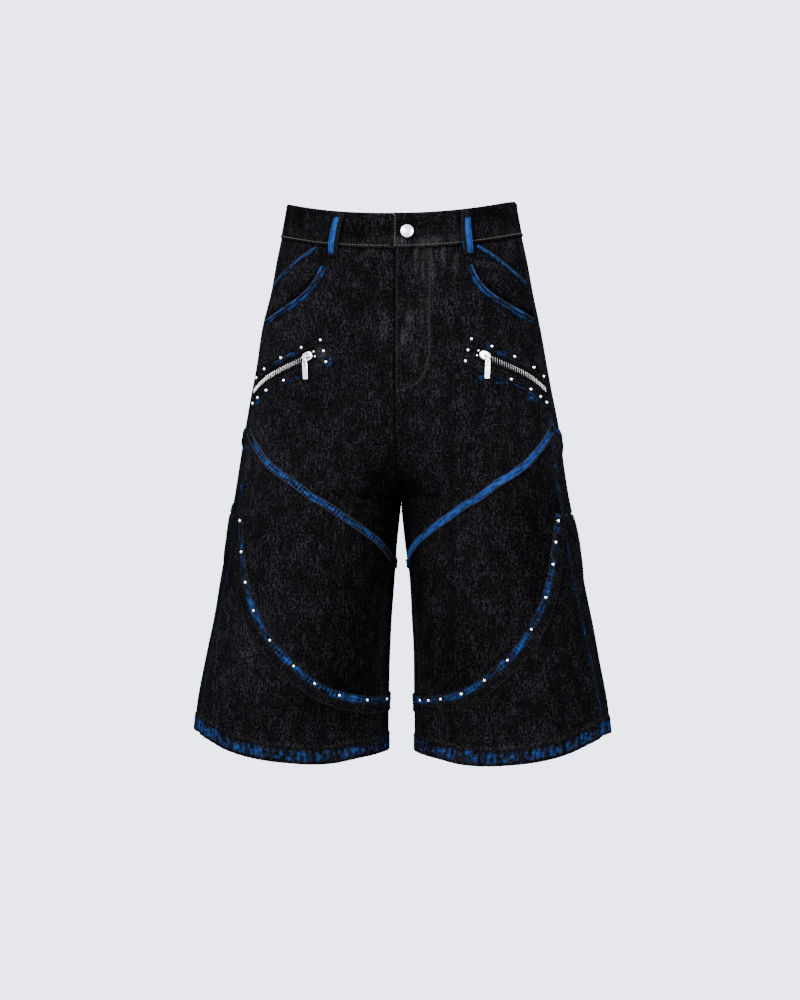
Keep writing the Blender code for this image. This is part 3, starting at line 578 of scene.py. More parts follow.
def plate(outline, profile):
    """A solid from an outline of (x, y) points and a profile of (inset, height) rows, bottom to top."""
    outline = np.asarray(outline, float)
    ahead = unit(np.roll(outline, -1, axis=0) - np.roll(outline, 1, axis=0))
    inward = np.stack([-ahead[:, 1], ahead[:, 0]], -1)
    count = len(outline)
    rings = [np.column_stack([outline + inward * inset, np.full(count, height)]) for inset, height in profile]
    return np.concatenate(rings), skin_faces(len(rings), count)


def surface_axes(side, angle, z, ahead):
    """Each place's own axes on the cloth: along ahead, across it, and off the cloth."""
    off = cloth_normal(side, angle, z)
    ahead = unit(ahead - off * (ahead * off).sum(-1, keepdims=True))
    return np.stack([ahead, np.cross(off, ahead), off], -2)


# ---------------------------------------------------------------- materials


class Shader:
    """A material built node by node. Inputs are numbers, colours or other nodes' outputs."""

    def __init__(self, name):
        self.material = bpy.data.materials.new(name)
        self.material.use_nodes = True
        self.nodes = self.material.node_tree.nodes
        self.principled = self.nodes["Principled BSDF"]

    def feed(self, socket, value):
        if isinstance(value, bpy.types.NodeSocket):
            self.material.node_tree.links.new(value, socket)
        else:
            socket.default_value = value

    def add(self, kind, inputs, output=0, **settings):
        node = self.nodes.new(kind)
        for key, value in settings.items():
            setattr(node, key, value)
        for key, value in inputs.items():
            self.feed(node.inputs[key], value)
        return node.outputs[output]

    def surface(self, **inputs):
        for key, value in inputs.items():
            self.feed(self.principled.inputs[key.replace("_", " ")], value)

    def calc(self, operation, *values):
        return self.add("ShaderNodeMath", dict(enumerate(values)), operation=operation)

    def span(self, value, low, high, to_low=0.0, to_high=1.0):
        ends = {"Value": value, "From Min": low, "From Max": high, "To Min": to_low, "To Max": to_high}
        return self.add("ShaderNodeMapRange", ends, interpolation_type="SMOOTHSTEP")

    def mix(self, share, first, second):
        return self.add("ShaderNodeMix", {0: share, 6: first, 7: second}, 2, data_type="RGBA")

    def noise(self, place, stretch, detail=2.0, roughness=0.5):
        scaled = self.add("ShaderNodeVectorMath", {0: place, 1: (*stretch, 1.0)}, operation="MULTIPLY")
        inputs = {"Vector": scaled, "Scale": 1.0, "Detail": detail, "Roughness": roughness}
        return self.add("ShaderNodeTexNoise", inputs, noise_dimensions="2D")

    def place(self, name):
        return self.add("ShaderNodeUVMap", {}, uv_map=name)

    def value(self, name):
        return self.add("ShaderNodeAttribute", {}, 2, attribute_name=name)

    def bump(self, height, distance, strength=1.0):
        self.feed(
            self.principled.inputs["Normal"],
            self.add("ShaderNodeBump", {"Height": height, "Distance": distance, "Strength": strength}),
        )


def weave_nodes(shader):
    """Twill, slub, speckle and clouds of the cloth: (bump height, grain, speckle)."""
    place = shader.place("weave")
    twill = shader.add(
        "ShaderNodeTexWave",
        {"Vector": place, "Scale": 349.0, "Distortion": 1.2, "Detail": 1.0},
        bands_direction="DIAGONAL",
    )
    slub = shader.noise(place, (430.0, 95.0), 3.0, 0.6)
    speckle = shader.noise(place, (460.0, 390.0), 2.0, 0.7)
    cloud = shader.noise(place, (60.0, 34.0), 3.0, 0.6)
    height = shader.calc("MULTIPLY_ADD", slub, 0.9, shader.calc("MULTIPLY", twill, 0.35))
    grain = shader.calc("MAXIMUM", shader.span(slub, 0.48, 0.76, 0.0, 0.7), shader.span(speckle, 0.51, 0.72))
    grain = shader.calc("MULTIPLY", grain, shader.span(cloud, 0.34, 0.66, 0.30, 1.0))
    return shader.calc("MULTIPLY_ADD", speckle, 0.5, height), grain, speckle


def denim_material(name, dark, light, worn):
    """Washed black denim, with blue brushed on where the mesh says so."""
    shader = Shader(name)
    height, grain, speckle = weave_nodes(shader)
    # The wear value is rubbed wear, with a painted sheen by the wearer's right zip.
    wear_and_sheen = shader.calc("MULTIPLY", shader.value("wear_and_sheen"), shader.span(speckle, 0.34, 0.66, 0.15, 1.0))
    base = shader.mix(wear_and_sheen, shader.mix(grain, dark, light), worn)
    # The wash value tints the cloth: its own uneven wash, with painted light and shade in it.
    wash_and_shade = shader.value("wash_and_shade")
    tint = shader.add("ShaderNodeCombineColor", {0: wash_and_shade, 1: wash_and_shade, 2: wash_and_shade})
    base = shader.add("ShaderNodeMix", {0: 1.0, 6: base, 7: tint}, 2, data_type="RGBA", blend_type="MULTIPLY")
    brush = shader.place("brush")
    stroke = shader.noise(brush, (55.0, 430.0), 3.0, 0.6)
    dab = shader.noise(brush, (150.0, 230.0), 3.0, 0.55)
    paint = shader.value("paint")
    thick = shader.calc("MULTIPLY_ADD", shader.calc("SUBTRACT", stroke, 0.5), 1.3, paint)
    thick = shader.calc("MULTIPLY_ADD", shader.calc("SUBTRACT", dab, 0.5), 0.8, thick)
    mask = shader.calc("MULTIPLY", shader.span(thick, 0.16, 0.60), shader.span(paint, 0.02, 0.14))
    colours = bpy.context.scene.jeans_colours
    tone = shader.mix(shader.span(thick, 0.36, 1.02), colours.brushed_thin, colours.brushed_thick)
    shader.surface(Base_Color=shader.mix(mask, base, tone), Roughness=0.9, Specular_IOR_Level=0.0)
    shader.bump(height, 0.0006, 0.7)
    return shader.material


def grey(level):
    return level, level, level, 1


def thread_material(name, colour):
    shader = Shader(name)
    shader.surface(Base_Color=colour, Roughness=0.8, Specular_IOR_Level=0.0)
    return shader.material


def metal_material(name, colour):
    """Plain nickel, a little uneven."""
    shader = Shader(name)
    place = shader.add("ShaderNodeTexCoord", {}, 3)
    smear = shader.add("ShaderNodeTexNoise", {"Vector": place, "Scale": 260.0, "Detail": 2.0})
    shader.surface(Base_Color=colour, Metallic=1.0, Roughness=shader.span(smear, 0.3, 0.7, 0.16, 0.3))
    return shader.material


def tape_material():
    """Black woven tape with fine ribs."""
    shader = Shader("zip_tape")
    place = shader.place("weave")
    rib = shader.noise(place, (900.0, 160.0), 1.0)
    shader.surface(
        Base_Color=shader.mix(shader.span(rib, 0.4, 0.7), grey(0.0005), grey(0.0018)),
        Roughness=0.8,
        Specular_IOR_Level=0.0,
    )
    shader.bump(rib, 0.0004, 0.5)
    return shader.material


INSIDE_COLOURS = (0.0011, 0.0010, 0.0011, 1), (0.0060, 0.0056, 0.0058, 1), (0.010, 0.0095, 0.0095, 1)


def make_materials(colours):
    """The object's materials by their short names. colours are the add-on's settings."""
    return {
        "denim": denim_material("black_denim", colours.denim_dark, colours.denim_light, colours.denim_worn),
        "inside": denim_material("denim_inside", *INSIDE_COLOURS),
        "metal": metal_material("nickel", colours.metal),
        "teeth metal": metal_material("nickel_teeth", (0.13, 0.127, 0.12, 1)),
        "tape": tape_material(),
        "dark thread": thread_material("dark_thread", (0.0017, 0.0016, 0.0017, 1)),
        "light thread": thread_material("light_thread", (0.018, 0.0172, 0.0162, 1)),
        "mid thread": thread_material("grey_thread", (0.0085, 0.0082, 0.0080, 1)),
        "blue thread": thread_material("blue_thread", (0.0007, 0.0024, 0.0075, 1)),
        # A near-black for painted shade: in the gaps of the zip chains, round the studs and on the sliders.
        "painted shade black": thread_material("painted_shade_black", grey(0.0006)),
    }


MATERIALS = {}


def stuff(name):
    if not MATERIALS:
        MATERIALS.update(make_materials(bpy.context.scene.jeans_colours))
    return MATERIALS[name]


# ---------------------------------------------------------------- denim panels


def spaced(low, high, step, marks=(), edges=()):
    """Stations from low to high, no more than a step apart, with marks among them and edges at both ends."""
    inside = np.linspace(low, high, max(2, math.ceil((high - low) / step) + 1))
    extra = [low + e for e in edges] + [high - e for e in edges] + list(marks)
    stations = np.sort(np.concatenate([inside, extra]))
    keep = np.concatenate([[True], np.diff(stations) > 1e-4])
    return stations[keep]


def panel_grid(face, top, bottom, stations, low_marks, high_marks, count):
    """A panel's grid, bottom row first: angles, heights, shares, distances from its top and bottom."""
    between = np.linspace(0, 1, count + 2)[1:-1]
    shares_up = np.concatenate([np.zeros(len(low_marks)), between, np.ones(len(high_marks))])[:, None]
    between = np.linspace(low_marks[-1], -high_marks[-1], count + 2)[1:-1]
    marks = np.concatenate([low_marks, between, -np.asarray(high_marks)[::-1]])[:, None]
    room = 3 * max(low_marks[-1], high_marks[-1], 1)
    share = np.repeat(stations[None, :], len(marks), axis=0)
    for _ in range(6):
        upper, lower = top(share), bottom(share)
        height = upper - lower
        z = lower + height * shares_up + marks * np.minimum(1, height / room)
        start = panel_start(face, z)
        share = start + stations[None, :] * (1 - start)
    return panel_angle(face, share, z), z, share, upper - z, z - lower


def rolled(distance, width=1.8, depth=0.9):
    """A panel's edge turns down into its seam."""
    return -depth * (1 - smooth(distance / width)) ** 1.5


def ridge(distance, low, high, height, soft=1.2):
    """A raised band between two distances."""
    return height * (smooth((distance - low) / soft) - smooth((distance - high) / soft))


def uneven(run, seed, scale=11.0):
    """A slow wandering between -1 and 1 along a distance."""
    turn = run / scale
    return (np.sin(turn + seed) + 0.6 * np.sin(turn * 2.3 + seed * 2.1) + 0.4 * np.sin(turn * 5.1 + seed)) / 2


GRAIN_LINE = 70.0  # the plumb line's distance from the middle of the garment


def across_grain(angle, z):
    """Distance round the cloth from a plumb line down its middle, so that the grain hangs straight."""
    flat = half_point(angle, z) * (1, 1, 0)
    run = distance_along(flat, axis=1)
    x = flat[..., 0]
    middle = [np.interp(GRAIN_LINE, row, along) - max(row[0] - GRAIN_LINE, 0) for row, along in zip(x, run)]
    return run - np.array(middle)[:, None]


def painted_seam_shadow(name, top, bottom, inner, outer):
    """Painted shade along the seams, and a wider painted shadow on the facing under the pocket's edge."""
    shade = 1.0
    # the facing gets a wider band of painted shadow under the pocket's edge
    below = 9.0 if "facing" in name else 1.6
    for distance, reach in ((top, 1.8), (bottom, below), (inner, 1.5), (outer, 1.5)):
        shade = shade * (1 - 0.65 * near(distance, 0, reach))
    return shade


def denim_panel(name, side_name, face, grid, relief, paint=None, wear_and_sheen=None, seed=0.0):
    """One panel. relief, paint and wear are functions of the grid's distances from its four sides; the wear
    holds a painted sheen by the wearer's right zip.
    """
    side = SIDES[side_name]
    angle, z, share, from_top, from_bottom = grid
    run = distance_along(half_point(angle, z), axis=1)
    sides = {
        "side": side, "face": face, "angle": angle, "z": z, "share": share, "seed": seed + side,
        "top": from_top, "bottom": from_bottom, "inner": run, "outer": run[:, -1:] - run,
    }
    sides["x"] = side * half_point(angle, z)[..., 0]
    off = relief(**sides) if relief else 0.0
    outer = cloth(side, angle, z, off)
    inner = cloth(side, angle, z, np.minimum(off, 0) - THIN)
    own_stretch = 700 * side + 300 * face  # no two panels show the same stretch of the grain
    weave = np.stack([-side * face * across_grain(angle, z) + own_stretch, z], -1)
    return cloth_piece(
        f"{name}_{side_name}", outer, inner, weave, [stuff("denim"), stuff("inside")],
        np.stack([z * 1.6 + 1.4 * np.sin(run / 3.0), run * 0.42], -1),
        paint(**sides) if paint else 0.0, wear_and_sheen(**sides) if wear_and_sheen else 0.0,
        # the wash also carries painted shade along every seam and under the pocket's edge
        wash_light_and_shade(side, face, sides["x"], z) * painted_seam_shadow(name, from_top, from_bottom, run, run[:, -1:] - run),
    )


THIN = 1.1
EDGES = (0.0012, 0.0045, 0.009, 0.016, 0.026, 0.04)
FLY_STITCH = np.array([
    # height, distance from the centre front
    (-236, 1.0), (-235, 3.0), (-232, 11.0), (-229, 19.5), (-225, 26.0), (-218, 31.0), (-209, 35.5),
    (-199, 38.0), (-150, 39.2), (-100, 39.8), (-60, 40.0),
])
fly_reach = Curve(FLY_STITCH)
FLY_END = -236  # the fly's height at its foot
PATCHES = (
    # side (wearer's), x, z, half-width, half-height, how much blue
    (-1, -139, -198, 9, 7, 0.40), (-1, -121, -190, 12, 5, 0.42), (-1, -80, -204, 7, 3, 0.36),
    (-1, -130, -214, 6, 4, 0.24), (1, 107, -181, 4, 6, 0.40), (1, 122, -190, 9, 5, 0.44),
    (1, 99, -218, 7, 4, 0.46), (1, 124, -224, 8, 3, 0.38), (1, 158, -241, 8, 5, 0.42),
    (1, 150, -204, 8, 4, 0.26),
)
# Light worn streaks down the fly, and one painted sheen at the inner end of the wearer's right zip.
WEAR_AND_SHEEN = (
    # side (wearer's), x, z, half-width, half-height, how light
    (-1, -86, -190, 7, 9, 0.70), (1, 24, -78, 2, 24, 0.85), (1, 33, -86, 2, 28, 0.90),
    (1, 43, -96, 2, 30, 0.72), (1, 55, -80, 3, 16, 0.72), (1, 70, -86, 3, 14, 0.55),
    (1, 30, -150, 2, 24, 0.44), (-1, -30, -74, 8, 8, 0.30), (1, 16, -152, 4, 18, 0.60),
    (1, 9, -172, 3, 14, 0.55), (1, 24, -196, 3, 18, 0.40), (-1, -12, -160, 5, 22, 0.30),
    (1, 62, -60, 7, 5, 0.50), (1, 22, -58, 6, 4, 0.45),
)


# Front patches, partly the wash's own tone and partly painted light and shade: painted shade in the valley
# between the legs and down the wearer's left side, painted light down the wearer's right.
WASH_LIGHT_AND_SHADE = (
    # x, z, half-width, half-height, how much lighter or darker, on the front
    (-8, -385, 34, 120, -0.50), (-48, -520, 42, 130, -0.42), (-66, -590, 56, 40, -0.42),
    (18, -470, 26, 120, -0.20), (168, -395, 48, 120, -0.34), (205, -565, 52, 95, -0.26),
    (65, -545, 40, 70, -0.24), (-138, -140, 44, 55, 0.50), (-176, -275, 30, 110, 0.45),
    (-168, -520, 50, 80, 0.48), (-138, -45, 40, 30, 0.30), (16, -165, 26, 42, 0.36),
    (-20, -162, 20, 26, 0.40), (60, -250, 66, 60, 0.14), (-116, -280, 56, 80, 0.16),
    (176, -190, 24, 40, 0.25), (-14, -560, 10, 130, 0.35), (30, -75, 50, 34, 0.22),
    (120, -640, 80, 30, 0.12), (140, -60, 26, 30, 0.35),
)


def wash_light_and_shade(side, face, x, z):
    """How light the cloth is, 1 being plain: a faint uneven tone, and the front's patches, which are partly
    the wash's own and partly painted light and shade; the back takes them mirrored and weaker.
    """
    lift = 0.10 * np.sin(x / 31 + 2.0) * np.sin(z / 47 + 1.0)
    for middle, height, wide, tall, amount in WASH_LIGHT_AND_SHADE:
        if face > 0:
            middle, amount = -middle, 0.7 * amount
        lift = lift + amount * np.exp(-1.6 * (((x - middle) / wide) ** 2 + ((z - height) / tall) ** 2))
    return np.clip(1 + lift, 0.4, 2.2)


def blots(table, side, x, z):
    """The strongest of the table's soft patches at each place, on the front."""
    found = np.zeros(np.shape(x))
    for which, middle, height, wide, tall, strength in table:
        if which == side:
            far = np.hypot((x - middle) / wide, (z - height) / tall)
            found = np.maximum(found, strength * (1 - smooth((far - 0.45) / 0.75)))
    return found


def puckered(height, length, z, seed, distance, middle=3):
    """Small waves along a seam, highest this far from it."""
    return height * np.sin(z / length + seed) * near(distance, middle, 4)


def seam_wear(outer, inner):
    return 0.42 * near(outer, 2.5, 2.828) + 0.4 * near(inner, 2, 2.449)


def fly_relief(side, z, inner):
    """The fly: the wearer's left stands proud as far as the curved stitching, and puckers along it."""
    reach = fly_reach(z)
    inside = smooth((z - FLY_END) / 1.5)
    if side < 0:
        return -0.7 * inside * (1 - smooth((inner - 3) / 3))
    puckers = 0.28 * np.sin(z / 2.1) * near(inner, reach, 5)
    return inside * (1.1 * smooth((reach + 1.6 - inner) / 2.4) + puckers)


def upper_relief(side, face, z, top, bottom, inner, outer, seed, **rest):
    off = rolled(outer, 2.4, 1.1) + rolled(bottom, 2.0, 0.9) + rolled(top, 1.2, 0.5)
    off = off + ridge(outer, -9, 9, 0.5, 2.0) * (face > 0)
    off = off + puckered(0.35, 3.6, z, seed, outer) * smooth((-z - 70) / 20)
    if face < 0:
        off = off + fly_relief(side, z, inner) + rolled(inner, 1.4, 0.9) * (z < FLY_END)
    else:
        off = off + rolled(inner, 1.2, 0.7 if side > 0 else 1.0) + ridge(inner, -9, 9, 0.8, 1.4) * (side > 0)
    return off


def seam_paint(side, z, outer, seed):
    """Blue caught along the side seam, broken up, most of it on the wearer's left."""
    amount = (0.52 if side > 0 else 0.34) * smooth((-250 - z) / 20)
    return amount * (0.55 + 0.45 * uneven(z, seed, 7.0)) * near(outer, 2.0, 2.2)


def upper_paint(side, face, x, z, outer, seed, **rest):
    return np.maximum(blots(PATCHES, side, x, z) if face < 0 else 0.0, seam_paint(side, z, outer, seed))


def knee_paint_of(side, z, outer, seed, **rest):
    return seam_paint(side, z, outer, seed)


def upper_wear_and_sheen(side, face, x, z, outer, inner, top, bottom, seed, **rest):
    worn = 0.42 * near(outer, 2.5, 2.828) * (0.6 + 0.4 * uneven(z, seed))
    worn = worn + 0.30 * near(bottom, 0, 3.162) * (0.6 + 0.4 * uneven(inner, seed))
    if face < 0:
        reach = fly_reach(z)
        # the fly's light worn streaks, and a painted sheen by the wearer's right zip
        worn = worn + blots(WEAR_AND_SHEEN, side, x, z) * (0.7 + 0.5 * uneven(z, seed, 4.0))
        if side > 0:
            worn = worn + 0.45 * near(inner, 0, 1.732) + 0.35 * near(inner, reach, 2.449) * (z > -238)
    else:
        worn = worn + 0.35 * near(inner, 7, 3.162)
    return np.clip(worn, 0, 0.85)


def knee_relief(side, face, z, top, bottom, inner, outer, seed, **rest):
    off = rolled(outer, 2.4, 1.1) + rolled(inner, 2.0, 0.8) + rolled(bottom, 1.6, 0.7) + rolled(top, 1.6, 0.7)
    off = off + ridge(outer, -9, 9, 0.5, 2.0) * (face > 0) + ridge(inner, -8, 8, 0.5, 1.6) * (face < 0)
    return off + puckered(0.32, 3.4, z, seed, outer) + puckered(0.25, 2.9, z, seed, inner, 4)


def knee_wear(z, outer, inner, top, bottom, seed, **rest):
    worn = seam_wear(outer, inner) * (0.6 + 0.4 * uneven(z, seed))
    worn = worn + 0.28 * near(top, 0, 3.464) + 0.28 * near(bottom, 0, 3.162)
    return np.clip(worn, 0, 0.8)


HEM_DEPTH = 21.0


def lower_relief(side, face, z, top, bottom, inner, outer, seed, **rest):
    off = rolled(outer, 2.4, 1.0) + rolled(inner, 2.0, 0.8) + rolled(top, 1.6, 0.7)
    off = off + ridge(bottom, -9, HEM_DEPTH, 0.9, 1.6) + rolled(bottom, 1.8, 1.0)
    lean = inner / 11.0 + bottom / 26.0
    roping = 0.42 * np.sin(2 * np.pi * lean + seed) * (1 - smooth((bottom - 15) / 7))
    return off + roping + puckered(0.25, 3.1, z, seed, outer)


HEM_DABS = (
    # side (wearer's), share of the panel's width from the inseam, height above the edge, half-width,
    # half-height, how much blue
    (-1, 0.986, 11, 3, 7, 0.80), (-1, 0.911, 9, 5, 8, 0.78), (-1, 0.845, 13, 6, 8, 0.72),
    (-1, 0.772, 17, 3, 5, 0.50), (-1, 0.716, 10, 6, 8, 0.80), (-1, 0.661, 11, 4, 7, 0.85),
    (-1, 0.616, 11, 3, 7, 0.68), (-1, 0.594, 5, 5, 2, 0.60), (-1, 0.578, 12, 7, 2, 0.50),
    (-1, 0.543, 8, 3, 8, 0.80), (-1, 0.511, 11, 7, 3, 0.58), (-1, 0.462, 8, 3, 7, 0.80),
    (-1, 0.468, 3, 5, 2, 0.80), (-1, 0.430, 10, 4, 6, 0.48), (-1, 0.409, 9, 2, 6, 0.45),
    (-1, 0.375, 10, 6, 1, 0.35), (-1, 0.342, 7, 2, 5, 0.62), (-1, 0.294, 9, 4, 2, 0.36),
    (-1, 0.254, 12, 2, 3, 0.62), (-1, 0.220, 10, 7, 1, 0.50), (-1, 0.177, 12, 5, 3, 0.62),
    (-1, 0.092, 11, 7, 4, 0.85), (-1, 0.053, 19, 2, 7, 0.70), (-1, 0.013, 11, 3, 6, 0.80),
    (-1, 0.004, 9, 3, 6, 0.34), (1, 0.069, 15, 3, 8, 0.62), (1, 0.012, 15, 2, 3, 0.34),
    (1, 0.151, 13, 2, 3, 0.36), (1, 0.230, 15, 6, 2, 0.70), (1, 0.210, 16, 2, 2, 0.60),
    (1, 0.310, 14, 7, 5, 0.75), (1, 0.338, 9, 7, 3, 0.80), (1, 0.383, 7, 7, 3, 0.80),
    (1, 0.427, 8, 5, 5, 0.50), (1, 0.461, 11, 2, 4, 0.75), (1, 0.499, 9, 13, 2, 0.85),
    (1, 0.483, 5, 13, 2, 0.60), (1, 0.557, 2, 4, 2, 0.42), (1, 0.587, 9, 9, 2, 0.55),
    (1, 0.619, 9, 2, 4, 0.70), (1, 0.651, 9, 5, 2, 0.50), (1, 0.685, 8, 2, 4, 0.70),
    (1, 0.726, 10, 5, 2, 0.45), (1, 0.770, 8, 3, 5, 0.70), (1, 0.805, 9, 3, 4, 0.70),
    (1, 0.839, 10, 2, 3, 0.40), (1, 0.885, 9, 2, 5, 0.72), (1, 0.917, 9, 4, 3, 0.62),
    (1, 0.981, 7, 5, 5, 0.85), (1, 0.995, 14, 4, 6, 0.62),
)


def lower_paint(side, face, z, inner, outer, bottom, seed, **rest):
    """Brushed dabs along the hem, clear of its edge; the back takes the other leg's."""
    width, found = inner + outer, np.zeros(inner.shape)
    wobble = 1.2 * np.sin(bottom / 2.1 + inner / 3.7) + 0.8 * np.sin(inner / 1.9)
    for which, place, height, wide, tall, strength in HEM_DABS:
        if which == -side * face:
            far = np.hypot((inner - place * width + wobble) / (wide + 1.5), (bottom - height) / (tall + 1.5))
            found = np.maximum(found, strength * (1 - smooth((far - 0.10) / 1.25)))
    wisps = 0.90 * (0.68 + 0.32 * uneven(inner, seed * 3.1 + face, 9.0)) * (1 - smooth((bottom - 13) / 6))
    strokes = 0.74 + 0.28 * np.sin(outer / 0.85 + np.sin(bottom / 3.0))
    corner = 1.05 * strokes * (1 - smooth((outer - 26) / 12)) * (1 - smooth((bottom - 15) / 5))
    corner = corner * (1.0 if -side * face < 0 else 0.55)
    flames = 0.86 + 0.24 * np.sin(inner / 1.15 + 1.6 * np.sin(bottom / 4.5))
    found = 0.66 * flames * np.maximum(np.maximum(found, wisps), corner) * smooth((bottom - 2.0) / 3.5)
    return np.maximum(found, seam_paint(side, z, outer, seed))


def lower_wear(z, outer, inner, top, bottom, seed, **rest):
    worn = seam_wear(outer, inner) + 0.20 * near(bottom, HEM_DEPTH, 1.414) + 0.40 * near(bottom, 0, 1.732)
    return np.clip(worn * (0.7 + 0.3 * uneven(inner, seed)), 0, 0.85)


def build_panels(side_name):
    step, hem_step = 0.018, 0.0062  # between stations, as a share of the panel's width
    edge = (0.0, 0.7, 1.6, 3.2, 6.0)
    hem = (0.0, 0.5, 1.2, 2.4, *np.arange(4.0, 18.0, 1.5), 19.6, HEM_DEPTH, 22.4, 25.0)
    plain = spaced(0, 1, step, (), EDGES)
    pocket = spaced(0, 1, step, (POCKET_START - 0.001, POCKET_START), EDGES)
    fine = spaced(0, 1, hem_step, (), EDGES)
    for face, label, waist, knee, arc, foot, widest in (
        (FRONT, "front", pocket_top, knee_front, arc_front, hem_front, pocket),
        (BACK, "back", waist_seam(BACK), knee_back, arc_back, hem_back, plain),
    ):
        for part, top, bottom, stations, low_marks, count, looks, seed in (
            ("upper", waist, knee, widest, edge, 92, (upper_relief, upper_paint, upper_wear_and_sheen), 0.3),
            ("knee", knee, arc, plain, edge, 40, (knee_relief, knee_paint_of, knee_wear), 1.9),
            ("lower", arc, foot, fine, hem, 24, (lower_relief, lower_paint, lower_wear), 4.2),
        ):
            grid = panel_grid(face, top, bottom, stations, low_marks, edge, count)
            panel = denim_panel(f"{label}_{part}_cloth", side_name, face, grid, *looks, seed)
            finish_piece(panel, "black_denim", f"{label}_{part}_{side_name}")
    facing = spaced(POCKET_START + 0.002, 1, step, (FACING_START - 0.001, FACING_START), EDGES[:3])
    hip = spaced(HIP_PIECE_START, 1, step, (), EDGES[:3])
    for name, top, bottom, stations, marks, count, wear_and_sheen, seed in (
        ("pocket_facing", facing_top, scoop, facing, (0.0, 1.0, 2.5), 12, facing_wear, 2.2),
        ("hip_piece", waist_seam(FRONT), facing_seam, hip, (0.0, 0.8, 2.0), 8, None, 5.2),
    ):
        grid = panel_grid(FRONT, top, bottom, stations, marks, marks, count)
        panel = denim_panel(f"{name}_cloth", side_name, FRONT, grid, facing_relief, None, wear_and_sheen, seed)
        finish_piece(panel, "black_denim", f"{name}_{side_name}")


ALLOWANCE = (4.5, 2.0, 0.2)  # a seam allowance's columns, as distances to each side of its seam
ALLOWANCE_THICKNESS = 0.6


def allowance(name, columns, lift=-THIN - 0.2):
    """A folded seam allowance on the inside of a seam. columns are (side, angles, heights)."""
    offs = (lift, lift - ALLOWANCE_THICKNESS)
    outer, inner = (np.stack([cloth(*column, off) for column in columns], axis=1) for off in offs)
    heights = np.stack([z for _, _, z in columns], axis=1)
    weave = np.stack([heights, heights], -1) + np.arange(len(columns))[:, None]
    obj = cloth_piece(name, outer, inner, weave, [stuff("inside"), stuff("inside")])
    recalculate(obj)
    finish_piece(obj, "black_denim")


def edge_columns(side, face, z):
    """Columns beside a panel's inner edge, the centre seam or the inseam, farthest first."""
    angle = panel_angle(face, panel_start(face, z), z)
    return [(side, walk_round(angle, -face * distance, z, 4), z) for distance in ALLOWANCE]


def build_allowances():
    """The allowances behind the centre seams, the inseams, the side seams and the waistband's seam."""
    reach = (*(-distance for distance in ALLOWANCE), *ALLOWANCE[::-1])
    for face, label, top in ((FRONT, "front", -76.0), (BACK, "back", -46.0)):
        z = np.linspace(top, CROTCH_Z + 4, 150)
        allowance(f"centre_allowance_{label}", edge_columns(-1, face, z) + edge_columns(1, face, z)[::-1])
    for side_name, side in SIDES.items():
        z = np.linspace(CROTCH_Z - 6, -646, 150)
        columns = edge_columns(side, FRONT, z) + edge_columns(side, BACK, z)[::-1]
        allowance(f"inseam_allowance_{side_name}", columns)
        z = np.linspace(-58, -622, 260)
        seam = np.radians(side_seam_degrees(z))
        allowance(f"side_allowance_{side_name}", [(side, walk_round(seam, step, z, 4), z) for step in reach])
        angle = np.linspace(math.radians(-89.8), math.radians(89.8), 220)
        seam_z = band_top(angle) - BAND_HEIGHT
        allowance(f"waist_allowance_{side_name}", [(side, angle, seam_z - step) for step in reach], -0.8)


def facing_relief(top, bottom, outer, **rest):
    return rolled(top, 1.2, 0.5) + rolled(bottom, 3.0, 1.0) + rolled(outer, 2.0, 0.8)


def facing_wear(x, z, **rest):
    return 0.22 * np.exp(-(((z + 87 - 0.02 * np.abs(x)) / 2.2) ** 2)) * smooth((np.abs(x) - 78) / 8)


def finish_piece(obj, slot_name, *nodes):
    """Rides on the body and stands for these nodes of the frame, which it hides. slot_name is not used."""
    if "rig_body" not in obj:
        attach(obj, BODY)
    if nodes:
        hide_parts(*nodes)
    return obj


# ---------------------------------------------------------------- waistband, loops and trims


BAND_ENDS = {"left": -91.4, "right": -89.3}


